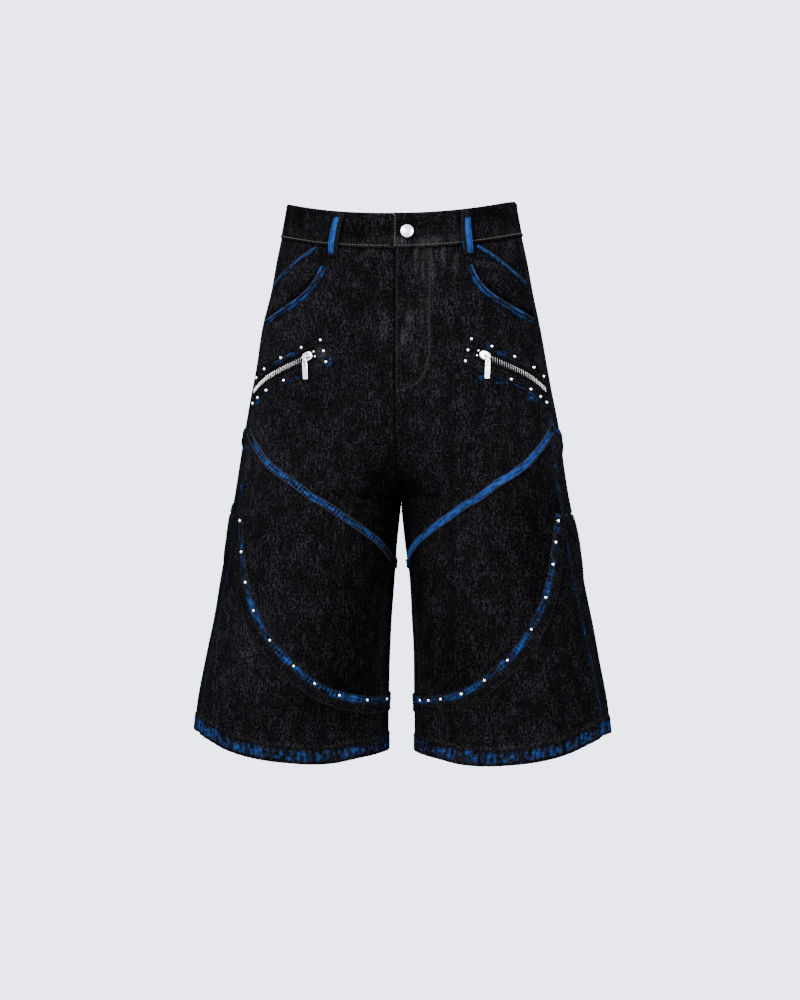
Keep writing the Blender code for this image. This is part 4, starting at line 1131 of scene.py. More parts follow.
def build_waistband(side_name):
    side = SIDES[side_name]
    start, stop = math.radians(BAND_ENDS[side_name]), math.pi / 2 - 0.0012
    start_marks, stop_marks = np.radians([0.15, 0.4, 0.8, 1.4]), np.radians([0.3, 0.8])
    angle = np.unique(np.concatenate([np.linspace(start, stop, 130), start + start_marks, stop - stop_marks]))
    fold = np.linspace(0, np.pi, 9)
    face_rows = [[0.0, 0.6, 1.4, 2.6], np.linspace(4.0, 38.0, 14), [39.6]]
    rise = np.concatenate([*face_rows, 40.7 + 1.3 * np.sin(fold), np.linspace(39.5, 1.0, 10)])
    out = np.concatenate([[-0.9, -0.35, -0.1], np.zeros(16), 1.3 * np.cos(fold) - 1.3, np.full(10, -2.6)])
    angle_grid, rise_grid = np.meshgrid(angle, rise)
    out_grid = np.repeat(out[:, None], len(angle), axis=1)
    z = band_top(angle_grid) - BAND_HEIGHT + rise_grid
    run = distance_along(half_point(angle_grid, z), axis=1)
    face_on = out_grid > -1.2
    off = BAND_OUT + out_grid
    if side > 0:
        off = off + 1.0 * (1 - smooth((run - 2) / 16)) * face_on + rolled(run, 0.9, 0.5) * face_on
    low = face_on * (1 - smooth((rise_grid - 4) / 4))
    off = off + 0.16 * np.sin(run / 1.9 + side) * near(rise_grid, 3.2, 2.2) * face_on
    off = off + 0.12 * np.sin(run / 2.1 + side) * near(rise_grid, 38.4, 2.2) * face_on
    outer = cloth(side, angle_grid, z, off)
    middle = np.clip(out_grid, -2.6 + 0.9, -0.9)
    inner = cloth(side, angle_grid, z, BAND_OUT + middle)
    up = np.repeat(distance_along(outer)[:, :1], len(angle), axis=1)
    weave = np.stack([side * run + 300 * side, up + 900], -1)
    rubbed = near(rise_grid, 6, 7) * (0.5 + 0.5 * uneven(run, 2.0, 7.0))
    blotch = 0.5 + 0.5 * uneven(run, 4.0, 5.0) * np.sin(rise_grid / 3.1 + run / 9.0)
    amount = np.where(np.degrees(angle_grid) < -48, 0.95 if side > 0 else 0.5, 0.25)
    patches = amount * rubbed * blotch * face_on
    wear_and_sheen = patches + 0.10 * near(rise_grid, 41.5, 1.2) + 0.35 * low * (rise_grid < 1.6)
    if side > 0:
        wear_and_sheen = wear_and_sheen + 0.4 * near(run, 0, 1.732) * face_on
    wash_and_shade = 0.86 + 0.22 * uneven(run, 3.0 + side, 15.0) + 0.20 * np.sin(rise_grid / 6.0 + run / 23.0)
    wash_and_shade = wash_and_shade + 0.5 * near(rise_grid, 9, 6) * (np.degrees(angle_grid) < -58) * (side > 0)
    # painted shadow along the band's lower seam
    wash_and_shade = wash_and_shade * (1 - 0.75 * near(rise_grid, 0, 1.7) * face_on)
    obj = cloth_piece(
        f"waistband_cloth_{side_name}", outer, inner, weave, [stuff("denim"), stuff("inside")], weave, 0.0,
        np.clip(wear_and_sheen, 0, 0.8), wash_and_shade,
    )
    finish_piece(obj, "black_denim", f"waistband_{side_name}")


LOOP_BOW = 1.7  # how far a leaning loop bows sideways at its middle


def loop_grid(side, top_angle, foot_angle, columns=13, rows=34):
    """A belt loop's places: angle, height, share across, share down and height off the cloth."""
    down, across = np.meshgrid(np.linspace(0, 1, rows), np.linspace(-0.5, 0.5, columns), indexing="ij")
    top_angle, foot_angle = math.radians(top_angle), math.radians(foot_angle)
    top = band_top(top_angle) - LOOP_TOP_INSET
    foot = band_top(foot_angle) - BAND_HEIGHT - LOOP_DROP
    z = top + (foot - top) * down
    middle = top_angle + (foot_angle - top_angle) * down
    bow = LOOP_BOW * np.sign(round(foot_angle - top_angle, 6)) * 4 * down * (1 - down)
    wide = LOOP_WIDTH * (1 - 0.16 * near(down, 0, 0.07))
    angle = middle + (bow + across * wide) / width_at(middle, z)
    return angle, z, across, down, loop_height(down)


def build_loop(name, side, top_angle, foot_angle, painted_side):
    angle, z, across, down, height = loop_grid(side, top_angle, foot_angle)
    edge = 1 - smooth((0.5 - np.abs(across)) * LOOP_WIDTH / 1.1)
    groove = np.exp(-(((np.abs(across) - 0.31) * LOOP_WIDTH / 0.8) ** 2))
    bulge = 0.35 * np.cos(across * np.pi) - 0.22 * groove
    ends = 0.5 * (near(down, 0, 0.03) + np.exp(-(((1 - down) / 0.03) ** 2)))
    off = height + 1.8 + bulge - 0.7 * edge - ends
    outer = cloth(side, angle, z, off)
    inner = cloth(side, angle, z, height + 0.2)
    weave = np.stack([across * LOOP_WIDTH + 40 * side, z], -1)
    brush = np.stack([z, 0.6 * across * LOOP_WIDTH + 7 * side], -1)
    painted = smooth((across * painted_side + 0.20) / 0.12) if painted_side else 0.75
    start, end = (0.15, 0.93) if name == "belt_loop_front_left" else (0.085, 0.90)
    paint = 0.86 * painted * smooth((down - start) / 0.05) * (1 - smooth((down - end) / 0.06))
    sliver = 0.6 * smooth((-across * painted_side - 0.38) / 0.08) * smooth((down - 0.55) / 0.1)
    sliver = sliver * (name == "belt_loop_front_left") * (1 - smooth((down - 0.92) / 0.05))
    obj = cloth_piece(
        f"{name}_cloth", outer, inner, weave, [stuff("denim"), stuff("inside")], brush,
        np.clip(np.maximum(paint, sliver), 0, 1), 0.35 * groove + 0.4 * edge,
    )
    finish_piece(obj, "brushed_blue", name)


def loop_places():
    """Name, side, angles at the top and foot, and which edge is painted, for each belt loop."""
    places = [("belt_loop_centre_back", 1, (90.0, 90.0), 0)]
    for (place, side_name), angles in LOOPS.items():
        painted_side = 1 if place == "front" else -1
        places.append((f"belt_loop_{place}_{side_name}", SIDES[side_name], angles, painted_side))
    return places


def build_loops():
    for name, side, angles, painted_side in loop_places():
        build_loop(name, side, *angles, painted_side)


def strip(name, side_name, face, line, span, columns, paint_of, wear_of, seed):
    """A stitched strip along a seam. columns are (distance below the line, height off the cloth)."""
    side = SIDES[side_name]
    start = panel_start(face, line(0.0))
    angle, z, run = seam_line(face, line, span[0] + start, span[1], 1.0)
    columns = np.asarray(columns, float)
    at_edge = np.abs(columns[:, 0] - columns[:, 0].mean()) > np.ptp(columns[:, 0]) * 0.42
    jitter = 0.28 * uneven(run, seed + side, 2.1)[:, None] * at_edge
    angle_grid, z_grid = beside_line(face, angle, z, columns[None, :, 0] + jitter)
    angle_grid = within_panel(face, angle_grid, z_grid)
    lift = np.repeat(columns[None, :, 1], len(run), axis=0)
    run_grid = np.repeat(run[:, None], len(columns), axis=1)
    off = lift + 0.18 * np.sin(run_grid * 2 * np.pi / 3.3 + seed) * (lift > 1.2)
    off = off + 0.22 * uneven(run_grid, seed + 3 * side, 5.0) * (lift > 1.2)
    outer = cloth(side, angle_grid, z_grid, off)
    inner = cloth(side, angle_grid, z_grid, 0.15)
    across = np.repeat(columns[None, :, 0], len(run), axis=0)
    weave = np.stack([run_grid + 1500 + 300 * side, across + 400 * seed], -1)
    share = run_grid / run[-1]
    obj = cloth_piece(
        f"{name}_cloth_{side_name}", outer, inner, weave, [stuff("denim"), stuff("inside")], weave,
        np.clip(paint_of(share, across, run_grid), 0, 1), np.clip(wear_of(share, across, run_grid), 0, 1),
    )
    finish_piece(obj, "brushed_blue", f"{name}_{side_name}")


def domed(low, high, top, count=9, foot=0.25):
    """Columns of a strip with rounded sides."""
    across = np.linspace(-1, 1, count)
    across = np.sign(across) * np.abs(across) ** 0.7
    heights = foot + (top - foot) * (1 - np.abs(across) ** 5) ** 0.5
    return list(zip((low + high) / 2 + across * (high - low) / 2, heights))


TRIM_STOP = 0.985  # the share of the panel's width at which a trim ends, short of the side seam


def build_trims(side_name):
    side = SIDES[side_name]
    solid = 0.70 if side > 0 else 0.47
    inner_end = 0.82 if side > 0 else 0.20
    ropes = 0.05 if side > 0 else 0.34

    def knee_paint(share, across, run):
        ends = solid + (inner_end - solid) * (1 - smooth((share - 0.06) / 0.12))
        ends = ends * (1 - 0.5 * smooth((share - 0.88) / 0.12))
        roped = ropes * np.sin(run / 0.75) * (0.5 + 0.5 * uneven(run, 2.0, 9.0))
        stripes = 0.10 * uneven(run, 1.3 * side, 14.0) + roped
        return (ends + stripes) * (1 - 0.55 * smooth((np.abs(across + 0.6) - 2.6) / 2.2))

    def edge_wear(share, across, run):
        return 0.55 * near(np.abs(across), 4.2, 0.949) * (0.7 + 0.3 * uneven(run, side))

    for label, face, line in (("front", FRONT, knee_front), ("back", BACK, knee_back)):
        span, columns = (0.02, TRIM_STOP), domed(*KNEE_TRIM, TRIM_TOP, 11)
        strip(f"knee_trim_{label}", side_name, face, line, span, columns, knee_paint, edge_wear, 1.0 + face)

    low, high = SCOOP_TRIM
    middle = (low + high) / 2
    upper_band = domed(low, middle - 0.2, TRIM_TOP, 7)
    two_bands = upper_band + [(middle, 0.6)] + domed(middle + 0.2, high, TRIM_TOP - 0.2, 7)

    def scoop_paint(share, across, run):
        upper = np.where(across < middle, 0.56, 0.46) + 0.16 * uneven(run, 4.0 + side, 9.0)
        return upper * smooth((np.abs(across - middle) - 0.4) / 0.7) * (1 - 0.4 * smooth((share - 0.8) / 0.2))

    def scoop_wear(share, across, run):
        return 0.5 * near(across, low + 0.6, 0.707) + 0.2 * near(across, middle, 0.632)

    span = (POCKET_START, TRIM_STOP)
    strip("scoop_trim", side_name, FRONT, scoop, span, two_bands, scoop_paint, scoop_wear, 2.0)

    def facing_paint(share, across, run):
        fade = 0.66 - 0.20 * share + 0.14 * uneven(run, 6.0 + side, 8.0)
        return fade * smooth((across - 1.0) / 0.8) * (1 - 0.6 * smooth((across - 3.4) / 2.0))

    def facing_wear_of(share, across, run):
        return 0.6 * near(across, 1.0, 0.707)

    span, columns = (0.518, TRIM_STOP), domed(*FACING_TRIM, TRIM_TOP, 9)
    strip("facing_trim", side_name, FRONT, facing_seam, span, columns, facing_paint, facing_wear_of, 3.0)


def build_arc_bands(side_name):
    side = SIDES[side_name]
    columns = [
        (-4.5, 0.3), (-4.2, 1.2), (-3.6, 1.75), (-2.0, 1.95), (0.0, 1.95), (2.0, 1.95), (4.0, 1.9),
        (4.9, 1.6), (5.3, 0.95), (6.0, 0.95), (7.5, 1.35), (9.5, 1.5), (11.5, 1.5), (13.5, 1.45),
        (15.2, 1.4), (16.1, 1.1), (16.5, 0.3),
    ]

    def paint(share, across, run):
        strokes = 0.42 + 0.20 * uneven(run, 2.0 * side, 13.0) + 0.12 * uneven(run, 5.0 + side, 4.0)
        strokes = strokes * (1 - 0.35 * smooth((share - 0.72) / 0.2))
        cross = 0.24 * (1 - smooth((share - 0.35) / 0.2)) if side < 0 else 0.10
        strokes = strokes + cross * np.sin(run / 0.8) * (uneven(run, 1.0, 12.0) > -0.3)
        return strokes * (1 - smooth((across - 4.2) / 1.6)) * smooth((across + 4.6) / 0.8)

    def wear_and_sheen(share, across, run):
        upper_edges = 0.45 * near(across, -4.0, 0.775) + 0.35 * near(across, 5.0, 0.894)
        return upper_edges + 0.45 * near(across, 15.8, 1)

    for label, face, line in (("front", FRONT, arc_front), ("back", BACK, arc_back)):
        strip(f"arc_band_{label}", side_name, face, line, (0.004, 0.955), columns, paint, wear_and_sheen, 5.0 + face)


# ---------------------------------------------------------------- zips, studs and the button


def build_welt(side_name):
    """The stitched frame round the slot, with a folded lip along the slot."""
    side = SIDES[side_name]
    t = np.linspace(0, 1, 52)
    turn = np.linspace(1, -1, 25)[1:-1]

    def round_slot(edge, end, ahead):
        """Places along the upper side, round the end and back along the lower side, this far out."""
        upper, lower = WELT_SEAM_GAP + WELT_LEAN * edge, WELT_SEAM_GAP - WELT_LEAN * edge
        return np.concatenate([
            np.column_stack([upper + (end - upper) * t, np.full(len(t), edge)]),
            np.column_stack([ahead, edge * turn]),
            np.column_stack([lower + (end - lower) * t[::-1], np.full(len(t), -edge)]),
        ])

    inner = round_slot(ZIP_SLOT, ZIP_SLOT_END, np.full(len(turn), ZIP_SLOT_END))
    corner = 1 - 0.10 * np.abs(turn) ** 6
    outer = round_slot(WELT_EDGE, WELT_END, ZIP_SLOT_END + (WELT_END - ZIP_SLOT_END) * corner)
    steps = np.array([0.0, 0.03, 0.08, 0.16, 0.26, 0.38, 0.5, 0.62, 0.74, 0.84, 0.92, 0.97, 1.0])
    lift = np.array([0.9, 1.7, 2.15, 2.1, 1.85, 1.75, 1.75, 1.75, 1.7, 1.65, 1.5, 1.1, 0.2])
    grid = inner[None] + (outer - inner)[None] * steps[:, None, None]
    angle, z = zip_place(grid[..., 0], grid[..., 1])
    run = distance_along(outer)[None] + 0 * z
    off = lift[:, None] + 0.16 * np.sin(run / 1.7 + side) * (steps[:, None] > 0.8) * (lift[:, None] > 1)
    off = off + 0.25 * uneven(run, side * 2.0, 6.0) * (lift[:, None] > 1)
    shell = cloth(side, angle, z, off)
    under = cloth(side, angle, z, np.minimum(off - 0.9, 0.15))
    weave = np.stack([side * grid[..., 0] + 2600, grid[..., 1]], -1)
    x = side * half_point(angle, z)[..., 0]
    lower_edge = smooth((steps[:, None] - 0.78) / 0.08) * (grid[..., 1] < -12)
    dashes = 0.62 * (lower_edge * (0.5 + 0.7 * uneven(run, 3.0 + side, 8.0)))
    paint = np.clip(np.maximum(blots(PATCHES, side, x, z), dashes), 0, 0.95)
    wear_and_sheen = 0.55 * near(steps[:, None], 0.06, 0.05) + 0.35 * near(steps[:, None], 0.93, 0.05)
    # the table adds a painted sheen at the inner end of the wearer's right zip
    wear_and_sheen = wear_and_sheen * (0.75 + 0.25 * uneven(run, 1.0, 5.0)) + blots(WEAR_AND_SHEEN, side, x, z)
    obj = cloth_piece(
        f"zip_welt_cloth_{side_name}", shell, under, weave, [stuff("denim"), stuff("inside")], weave, paint,
        np.clip(wear_and_sheen, 0, 0.85),
    )
    finish_piece(obj, "black_denim", f"zip_welt_{side_name}")


def build_tape(side_name):
    side = SIDES[side_name]
    across = np.array([-7.4, -6.8, -5.6, -4.4, -3.6, -2.4, 0.0, 2.4, 3.6, 4.4, 5.6, 6.8, 7.4])
    past_chain = np.linspace(CHAIN_END + 1.6, ZIP_SLOT_END - 0.6, 12)
    along = np.concatenate([np.linspace(WELT_SEAM_GAP + 2, CHAIN_END, 46), past_chain])
    along_grid, across_grid = np.meshgrid(along, across, indexing="ij")
    lean = WELT_LEAN * across_grid * np.maximum(0, 1 - along_grid / 20)
    angle, z = zip_place(along_grid + lean, across_grid)
    off = 0.9 + 0.35 * near(across_grid, 0, 3.6) - 0.25 * smooth((np.abs(across_grid) - 6.2) / 1.2)
    outer, inner = cloth(side, angle, z, off), cloth(side, angle, z, 0.3)
    weave = np.stack([along_grid, across_grid], -1)
    obj = cloth_piece(f"zip_tape_woven_{side_name}", outer, inner, weave, [stuff("tape"), stuff("tape")])
    finish_piece(obj, "zip_tape", f"zip_tape_{side_name}")


def zip_frames(side, along, across, off, slant=0.0):
    """Places and axes on the zip: x along it, y across it."""
    along, across = np.broadcast_arrays(np.asarray(along, float), np.asarray(across, float))
    angle, z = zip_place(along, across)
    ahead_angle, ahead_z = zip_place(along + 1, across)
    ahead = cloth(side, ahead_angle, ahead_z) - cloth(side, angle, z)
    axes = surface_axes(side, angle, z, ahead)
    if slant:
        turn_x = axes[..., 0, :] * math.cos(slant) + axes[..., 1, :] * math.sin(slant)
        axes = np.stack([turn_x, np.cross(axes[..., 2, :], turn_x), axes[..., 2, :]], -2)
    return cloth(side, angle, z, off), axes


CHAIN_PITCH = 2.85
TOOTH_SLANT = 0.38  # in radians, across the chain


def build_chain(side_name):
    """Interlocked metal teeth up to the slider, and the two stops past it."""
    side = SIDES[side_name]
    along = np.arange(5.0, CHAIN_END + 1.5, CHAIN_PITCH)
    tooth = [(-0.38, -3.2), (0.38, -3.2), (0.46, -2.2), (0.38, 2.9), (0.2, 3.2)]
    tooth += [(-0.2, 3.2), (-0.38, 2.9), (-0.46, -2.2)]
    bar = plate(tooth, [(0.1, 0.0), (0.0, 0.3), (0.0, 1.15), (0.28, 1.6)])
    # Black plates between the teeth are painted shade in the chain's gaps.
    link = plate([(-0.8, -0.7), (0.8, -0.7), (0.8, 0.7), (-0.8, 0.7)], [(0, 0), (0, 0.3), (0.12, 0.4)])
    stop = lathe([(0, 1.5), (0.9, 1.3), (1.35, 0.8), (1.45, 0), (0, 0)], 14)
    for part, template, metal, place in (
        ("teeth", bar, "teeth metal", (along, 0.0, 0.85, TOOTH_SLANT * side)),
        ("links", link, "painted shade black", (along + 1.42, 0.0, 0.85, TOOTH_SLANT * side)),
        ("stops", stop, "metal", ([99.4, 99.4], [2.7, -3.3], 0.8)),
    ):
        row = scatter(f"zip_{part}_{side_name}", template, *zip_frames(side, *place), stuff(metal))
        finish_piece(row, "nickel")


def slider_frame(side):
    """The slider's own axes as the frame has them: rows ahead, across and off, and its origin."""
    place = [half_point(*zip_place(SLIDER_PLACE + step, 0.0)) * (side, 1, 1) for step in (-5, 0, 5)]
    angle, z = zip_place(SLIDER_PLACE, 0.0)
    off = cloth_normal(side, angle, z)
    ahead = place[2] - place[0]
    ahead = unit(ahead - off * (ahead @ off))
    return np.stack([ahead, np.cross(off, ahead), off]), place[1]


def build_slider(side_name):
    side = SIDES[side_name]
    axes, origin = slider_frame(side)
    turn = np.arange(36) * 2 * np.pi / 36
    x = 6.9 * np.sign(np.cos(turn)) * np.abs(np.cos(turn)) ** 0.75
    wide = np.where(x > 0, 5.3, 5.3 - 1.1 * (x / 6.9) ** 2)
    y = wide * np.sign(np.sin(turn)) * np.abs(np.sin(turn)) ** 0.75
    outline = np.stack([x, y], -1)
    side_profile = [(1.0, 1.5), (0.25, 1.8), (0.0, 2.4), (0.0, 3.5), (0.3, 4.1), (0.9, 4.45), (1.3, 4.5)]
    body = plate(outline, side_profile)
    arch = [(-6.2, 0, 3.9), (-6.15, 0, 5.0), (-5.9, 0, 5.9), (-5.2, 0, 6.4), (-4.4, 0, 6.5)]
    arch += [(-0.4, 0, 6.5), (0.4, 0, 6.4), (1.1, 0, 5.9), (1.35, 0, 5.0), (1.4, 0, 3.9)]
    bridge = tube(arch, 0.75, 14, [1.9, 1.8, 1.5, 1.05, 1.0, 1.0, 1.05, 1.5, 1.8, 1.9])
    ridge_ring = plate(0.80 * outline, [(0.0, 4.2), (0.0, 4.6), (0.35, 4.85), (0.8, 4.6), (0.9, 4.4)])
    parts = [body, bridge, ridge_ring]
    metal_piece(f"zip_slider_metal_{side_name}", parts, axes, origin, "metal", f"zip_slider_{side_name}")
    # Two black strips along the slider's top, beside the bridge, are painted shade.
    groove = np.array([(-5.4, -0.42), (4.6, -0.42 * 0.6), (5.2, 0), (4.6, 0.42 * 0.6), (-5.4, 0.42)])
    shadow_lines = [plate(groove + (0, y), [(0.0, 4.2), (0.0, 4.93)]) for y in (-2.05, 2.05)]
    metal_piece(f"slider_shadow_lines_{side_name}", shadow_lines, axes, origin, "painted shade black")


def recalculate(obj):
    """Turns every closed part's faces to point out."""
    obj.data.update()
    mesh = bmesh.new()
    mesh.from_mesh(obj.data)
    bmesh.ops.recalc_face_normals(mesh, faces=mesh.faces[:])
    mesh.to_mesh(obj.data)
    mesh.free()


def metal_piece(name, parts, axes, origin, metal, *nodes):
    """Parts (points, faces) as one piece, placed by the rows of axes and an origin."""
    points, faces = joined(parts)
    obj = build_mesh(name, points @ axes + origin, faces, [stuff(metal)])
    recalculate(obj)
    finish_piece(obj, "nickel", *nodes)


TAB = {"neck": 4.5, "length": 26.0, "wide": 6.2, "narrow": 3.8, "thick": 1.3, "settle": math.radians(8.7)}


def build_tab(side_name):
    """The knuckle round the bridge and the hanging plate, with a slot and a small hole near its top."""
    side = SIDES[side_name]
    axes, origin = slider_frame(side)
    origin = origin + np.array([-2.4, 0, 6.5]) @ axes
    hang = axes @ np.array([0.0, 0.0, -1.0])
    hang = unit(np.array([hang[0], hang[1], 0.0]))
    wide = np.array([-hang[1], hang[0], 0.0]) * (1 if hang[1] < 0 else -1)
    neck, wide_neck, full, length = TAB["neck"], TAB["narrow"] / 2, TAB["wide"] / 2, TAB["length"]
    half = [
        (0.3, wide_neck), (neck - 0.6, wide_neck), (neck + 0.4, wide_neck + 0.5), (neck + 1.6, full - 0.2),
        (neck + 2.6, full), (length - 1.2, full), (length - 0.5, full - 0.15), (length - 0.1, full - 0.5),
        (length, full - 1.0),
    ]
    outline = [(run, -across) for run, across in half] + [(run, across) for run, across in reversed(half)]
    thick = TAB["thick"] / 2
    flat = plate(outline, [(0.25, -thick), (0, -thick + 0.25), (0, thick - 0.25), (0.25, thick)])
    sheet_axes = np.stack([hang, wide, np.cross(hang, wide)])
    if sheet_axes[2, 2] < 0:
        sheet_axes = np.stack([hang, -wide, np.cross(hang, -wide)])
    lean = -math.copysign(TAB["settle"], hang[1])
    tilt = np.array([(1, 0, 0), (0, math.cos(lean), math.sin(lean)), (0, -math.sin(lean), math.cos(lean))])
    hung = sheet_axes @ tilt
    plate_object = build_mesh(f"tab_plate_{side_name}", flat[0] @ hung, flat[1], [stuff("metal")])
    recalculate(plate_object)
    cutters = []
    turn = np.arange(20) * math.pi / 10
    for run, deep, broad in ((neck + 1.6, 0.85, 1.5), (neck + 4.8, 0.85, 0.85)):
        disc = plate(np.column_stack([run + deep * np.cos(turn), broad * np.sin(turn)]), [(0, -3), (0, 3)])
        cutters.append((disc[0] @ hung, disc[1]))
    cutter = build_mesh(f"tab_holes_{side_name}", *joined(cutters), [stuff("metal")])
    recalculate(cutter)
    cut = plate_object.modifiers.new("holes", "BOOLEAN")
    cut.operation, cut.object, cut.solver = "DIFFERENCE", cutter, "EXACT"
    graph = bpy.context.evaluated_depsgraph_get()
    pierced = bpy.data.meshes.new_from_object(plate_object.evaluated_get(graph))
    points = np.array([vert.co for vert in pierced.vertices]) / MM
    faces = [list(face.vertices) for face in pierced.polygons]
    for obj in (plate_object, cutter):
        bpy.data.objects.remove(obj, do_unlink=True)
    turn = np.arange(24) * 2 * np.pi / 24
    ring = [(2.3, 1.68), (-2.3, 1.68), (-2.3, 1.12), (2.3, 1.12)]
    knuckle_points = np.concatenate([
        np.column_stack([np.full(24, x), radius * np.cos(turn), radius * np.sin(turn)]) for x, radius in ring
    ])
    index = np.arange(len(knuckle_points)).reshape(len(ring), 24)
    around = np.roll(index, -1, axis=1)
    wrap = np.roll(index, -1, axis=0), np.roll(around, -1, axis=0)
    knuckle_faces = np.stack([index, around, wrap[1], wrap[0]], -1).reshape(-1, 4).tolist()
    points, faces = joined([(points, faces), (knuckle_points, knuckle_faces)])
    obj = build_mesh(f"pull_tab_metal_{side_name}", points @ axes + origin, faces, [stuff("metal")])
    recalculate(obj)
    obj.data.polygons.foreach_set("use_smooth", [False] * len(obj.data.polygons))
    obj.data.shade_smooth()
    obj.data.set_sharp_from_angle(angle=math.radians(35))
    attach(obj, f"{side_name}_zip_pull")
    finish_piece(obj, "nickel", f"pull_tab_{side_name}")


def build_studs(side_name):
    """Domed studs along the curved bands and round the zips, each in a black ring of painted shadow."""
    side = SIDES[side_name]
    origins, axes = [], []
    for face, line in ((FRONT, arc_front), (BACK, arc_back)):
        for share in ARC_STUDS[side_name, face]:
            z = line(share)
            angle = panel_angle(face, share, z)
            origins.append(cloth(side, angle, z, TRIM_TOP))
            axes.append(surface_axes(side, angle, z, np.array([0.0, 0.0, 1.0])))
    places, frames = zip_frames(side, *np.transpose(ZIP_STUDS), 1.75)
    origins, axes = np.concatenate([origins, places]), np.concatenate([axes, frames])
    dome = [(0, 1.6), (0.7, 1.48), (1.3, 1.1), (1.75, 0.5), (1.95, 0.1), (1.95, -0.4), (0, -0.4)]
    # the rim is a black ring of painted shadow round the dome
    rim = [(0, -0.3), (2.8, -0.3), (2.9, 0.02), (2.6, 0.2), (2.0, 0.12), (0, 0.12)]
    for name, profile, metal in (("studs", dome, "metal"), ("stud_shadow_rims", rim, "painted shade black")):
        row = scatter(f"{name}_{side_name}", lathe(profile, 20), origins, axes, stuff(metal))
        finish_piece(row, "nickel")


def build_button():
    """A turned shank button: slightly domed face, rim and shank."""
    side, angle, z = 1, math.radians(BUTTON_ANGLE), BUTTON_Z
    profile = [
        (0, 4.75), (2.3, 4.68), (4.2, 4.45), (5.3, 4.15), (5.7, 4.25), (6.1, 4.6), (6.7, 4.75),
        (7.25, 4.5), (7.6, 3.7), (7.55, 3.0), (7.1, 2.6), (5.8, 2.3), (4.2, 2.2), (3.8, 1.2), (4.2, 0.1),
        (0, 0.1),
    ]
    axes = surface_axes(side, np.array(angle), np.array(z), np.array([1.0, 0.0, 0.0]))
    place = half_point(angle, z) + axes[2] * (BAND_OUT + 1.0)
    metal_piece("waist_button_metal", [lathe(profile, 56)], axes, place, "metal", "waist_button")


# ---------------------------------------------------------------- sewing


def stitch_template(length, radius):
    """One stitch: a short thread that dives at both ends, along x."""
    at = np.array([-0.5, -0.44, -0.3, 0.0, 0.3, 0.44, 0.5]) * length
    sink = np.array([-0.9, -0.3, 0.25, 0.5, 0.25, -0.3, -0.9]) * radius
    thick = np.array([0.35, 0.8, 1.0, 1.0, 1.0, 0.8, 0.35]) * radius
    return tube(np.column_stack([at, 0 * at, sink]), thick, 7)


def plain_stitch():
    """Pitch, length and radius of the plain stitches, from the add-on's settings."""
    sizes = bpy.context.scene.jeans_sewing
    return [round(size / MM, 3) for size in (sizes.pitch, sizes.length, sizes.radius)]


def stitches(name, rows, material, sizes=None):
    """One mesh of stitches along rows of (side, angles, heights, height off the cloth)."""
    pitch, length, radius = sizes or plain_stitch()
    origins, axes = [], []
    for side, angle, z, off in rows:
        angle, z, off = np.broadcast_arrays(*(np.asarray(v, float) for v in (angle, z, off)))
        line = cloth(side, angle, z, off)
        run = distance_along(line)
        if run[-1] < pitch:
            continue
        middle = np.arange(pitch / 2, run[-1] - pitch / 3, run[-1] / max(1, round(run[-1] / pitch)))
        a, h, o = (np.interp(middle, run, values) for values in (angle, z, off))
        back, ahead = (
            np.column_stack([np.interp(middle + step, run, line[:, k]) for k in range(3)]) for step in (-1, 1)
        )
        origins.append(cloth(side, a, h, o + radius * 0.55))
        axes.append(surface_axes(side, a, h, ahead - back))
    template = stitch_template(length, radius)
    obj = scatter(name, template, np.concatenate(origins), np.concatenate(axes), stuff(material))
    return finish_piece(obj, "black_denim")


def seam_rows(side, face, line, span, distances, off):
    """Rows of stitching at these distances below a seam line."""
    start = panel_start(face, line(0.0))
    angle, z, _ = seam_line(face, line, span[0] + start, span[1], 3.0)
    grid_angle, grid_z = beside_line(face, angle, z, np.asarray(distances, float)[None, :])
    grid_angle = within_panel(face, grid_angle, grid_z, 0.006, 0.992)
    return [(side, grid_angle[:, i], grid_z[:, i], off) for i in range(len(distances))]


def side_rows(side, distance, low, high, off=0.0):
    z = np.linspace(high, low, 160)
    return side, walk_round(np.radians(side_seam_degrees(z)), distance, z, 4), z, off


def inner_rows(side, face, distance, low, high, off=0.0):
    """A row beside the centre seam or the inseam."""
    z = np.linspace(high, low, 200)
    angle = panel_angle(face, panel_start(face, z), z)
    return side, walk_round(angle, -face * distance, z, 4), z, off


def fly_rows(side, shift, high=-70.0):
    z = np.concatenate([np.linspace(high, -195, 60), np.linspace(-196, -235.5, 50)])
    angle = panel_angle(FRONT, 0.0, z)
    return side, walk_round(angle, fly_reach(z) - shift, z), z, 0.75


def band_rows(side_name, rise, off):
    start, stop = math.radians(BAND_ENDS[side_name] + 1.2), math.pi / 2 - 0.01
    angle = np.linspace(start, stop, 260)
    return SIDES[side_name], angle, band_top(angle) - BAND_HEIGHT + rise, off


def zip_rows(side, inset, reach, off):
    """Stitching round the zip's frame, this far across it."""
    upper = np.linspace(WELT_SEAM_GAP + WELT_LEAN * inset + 1, reach, 60)
    turn = np.linspace(inset, -inset, 24)[1:-1]
    lower = np.linspace(reach, WELT_SEAM_GAP - WELT_LEAN * inset + 1, 60)
    along = np.concatenate([upper, np.full(22, reach), lower])
    across = np.concatenate([np.full(60, inset), turn, np.full(60, -inset)])
    angle, z = zip_place(along, across)
    return side, angle, z, off


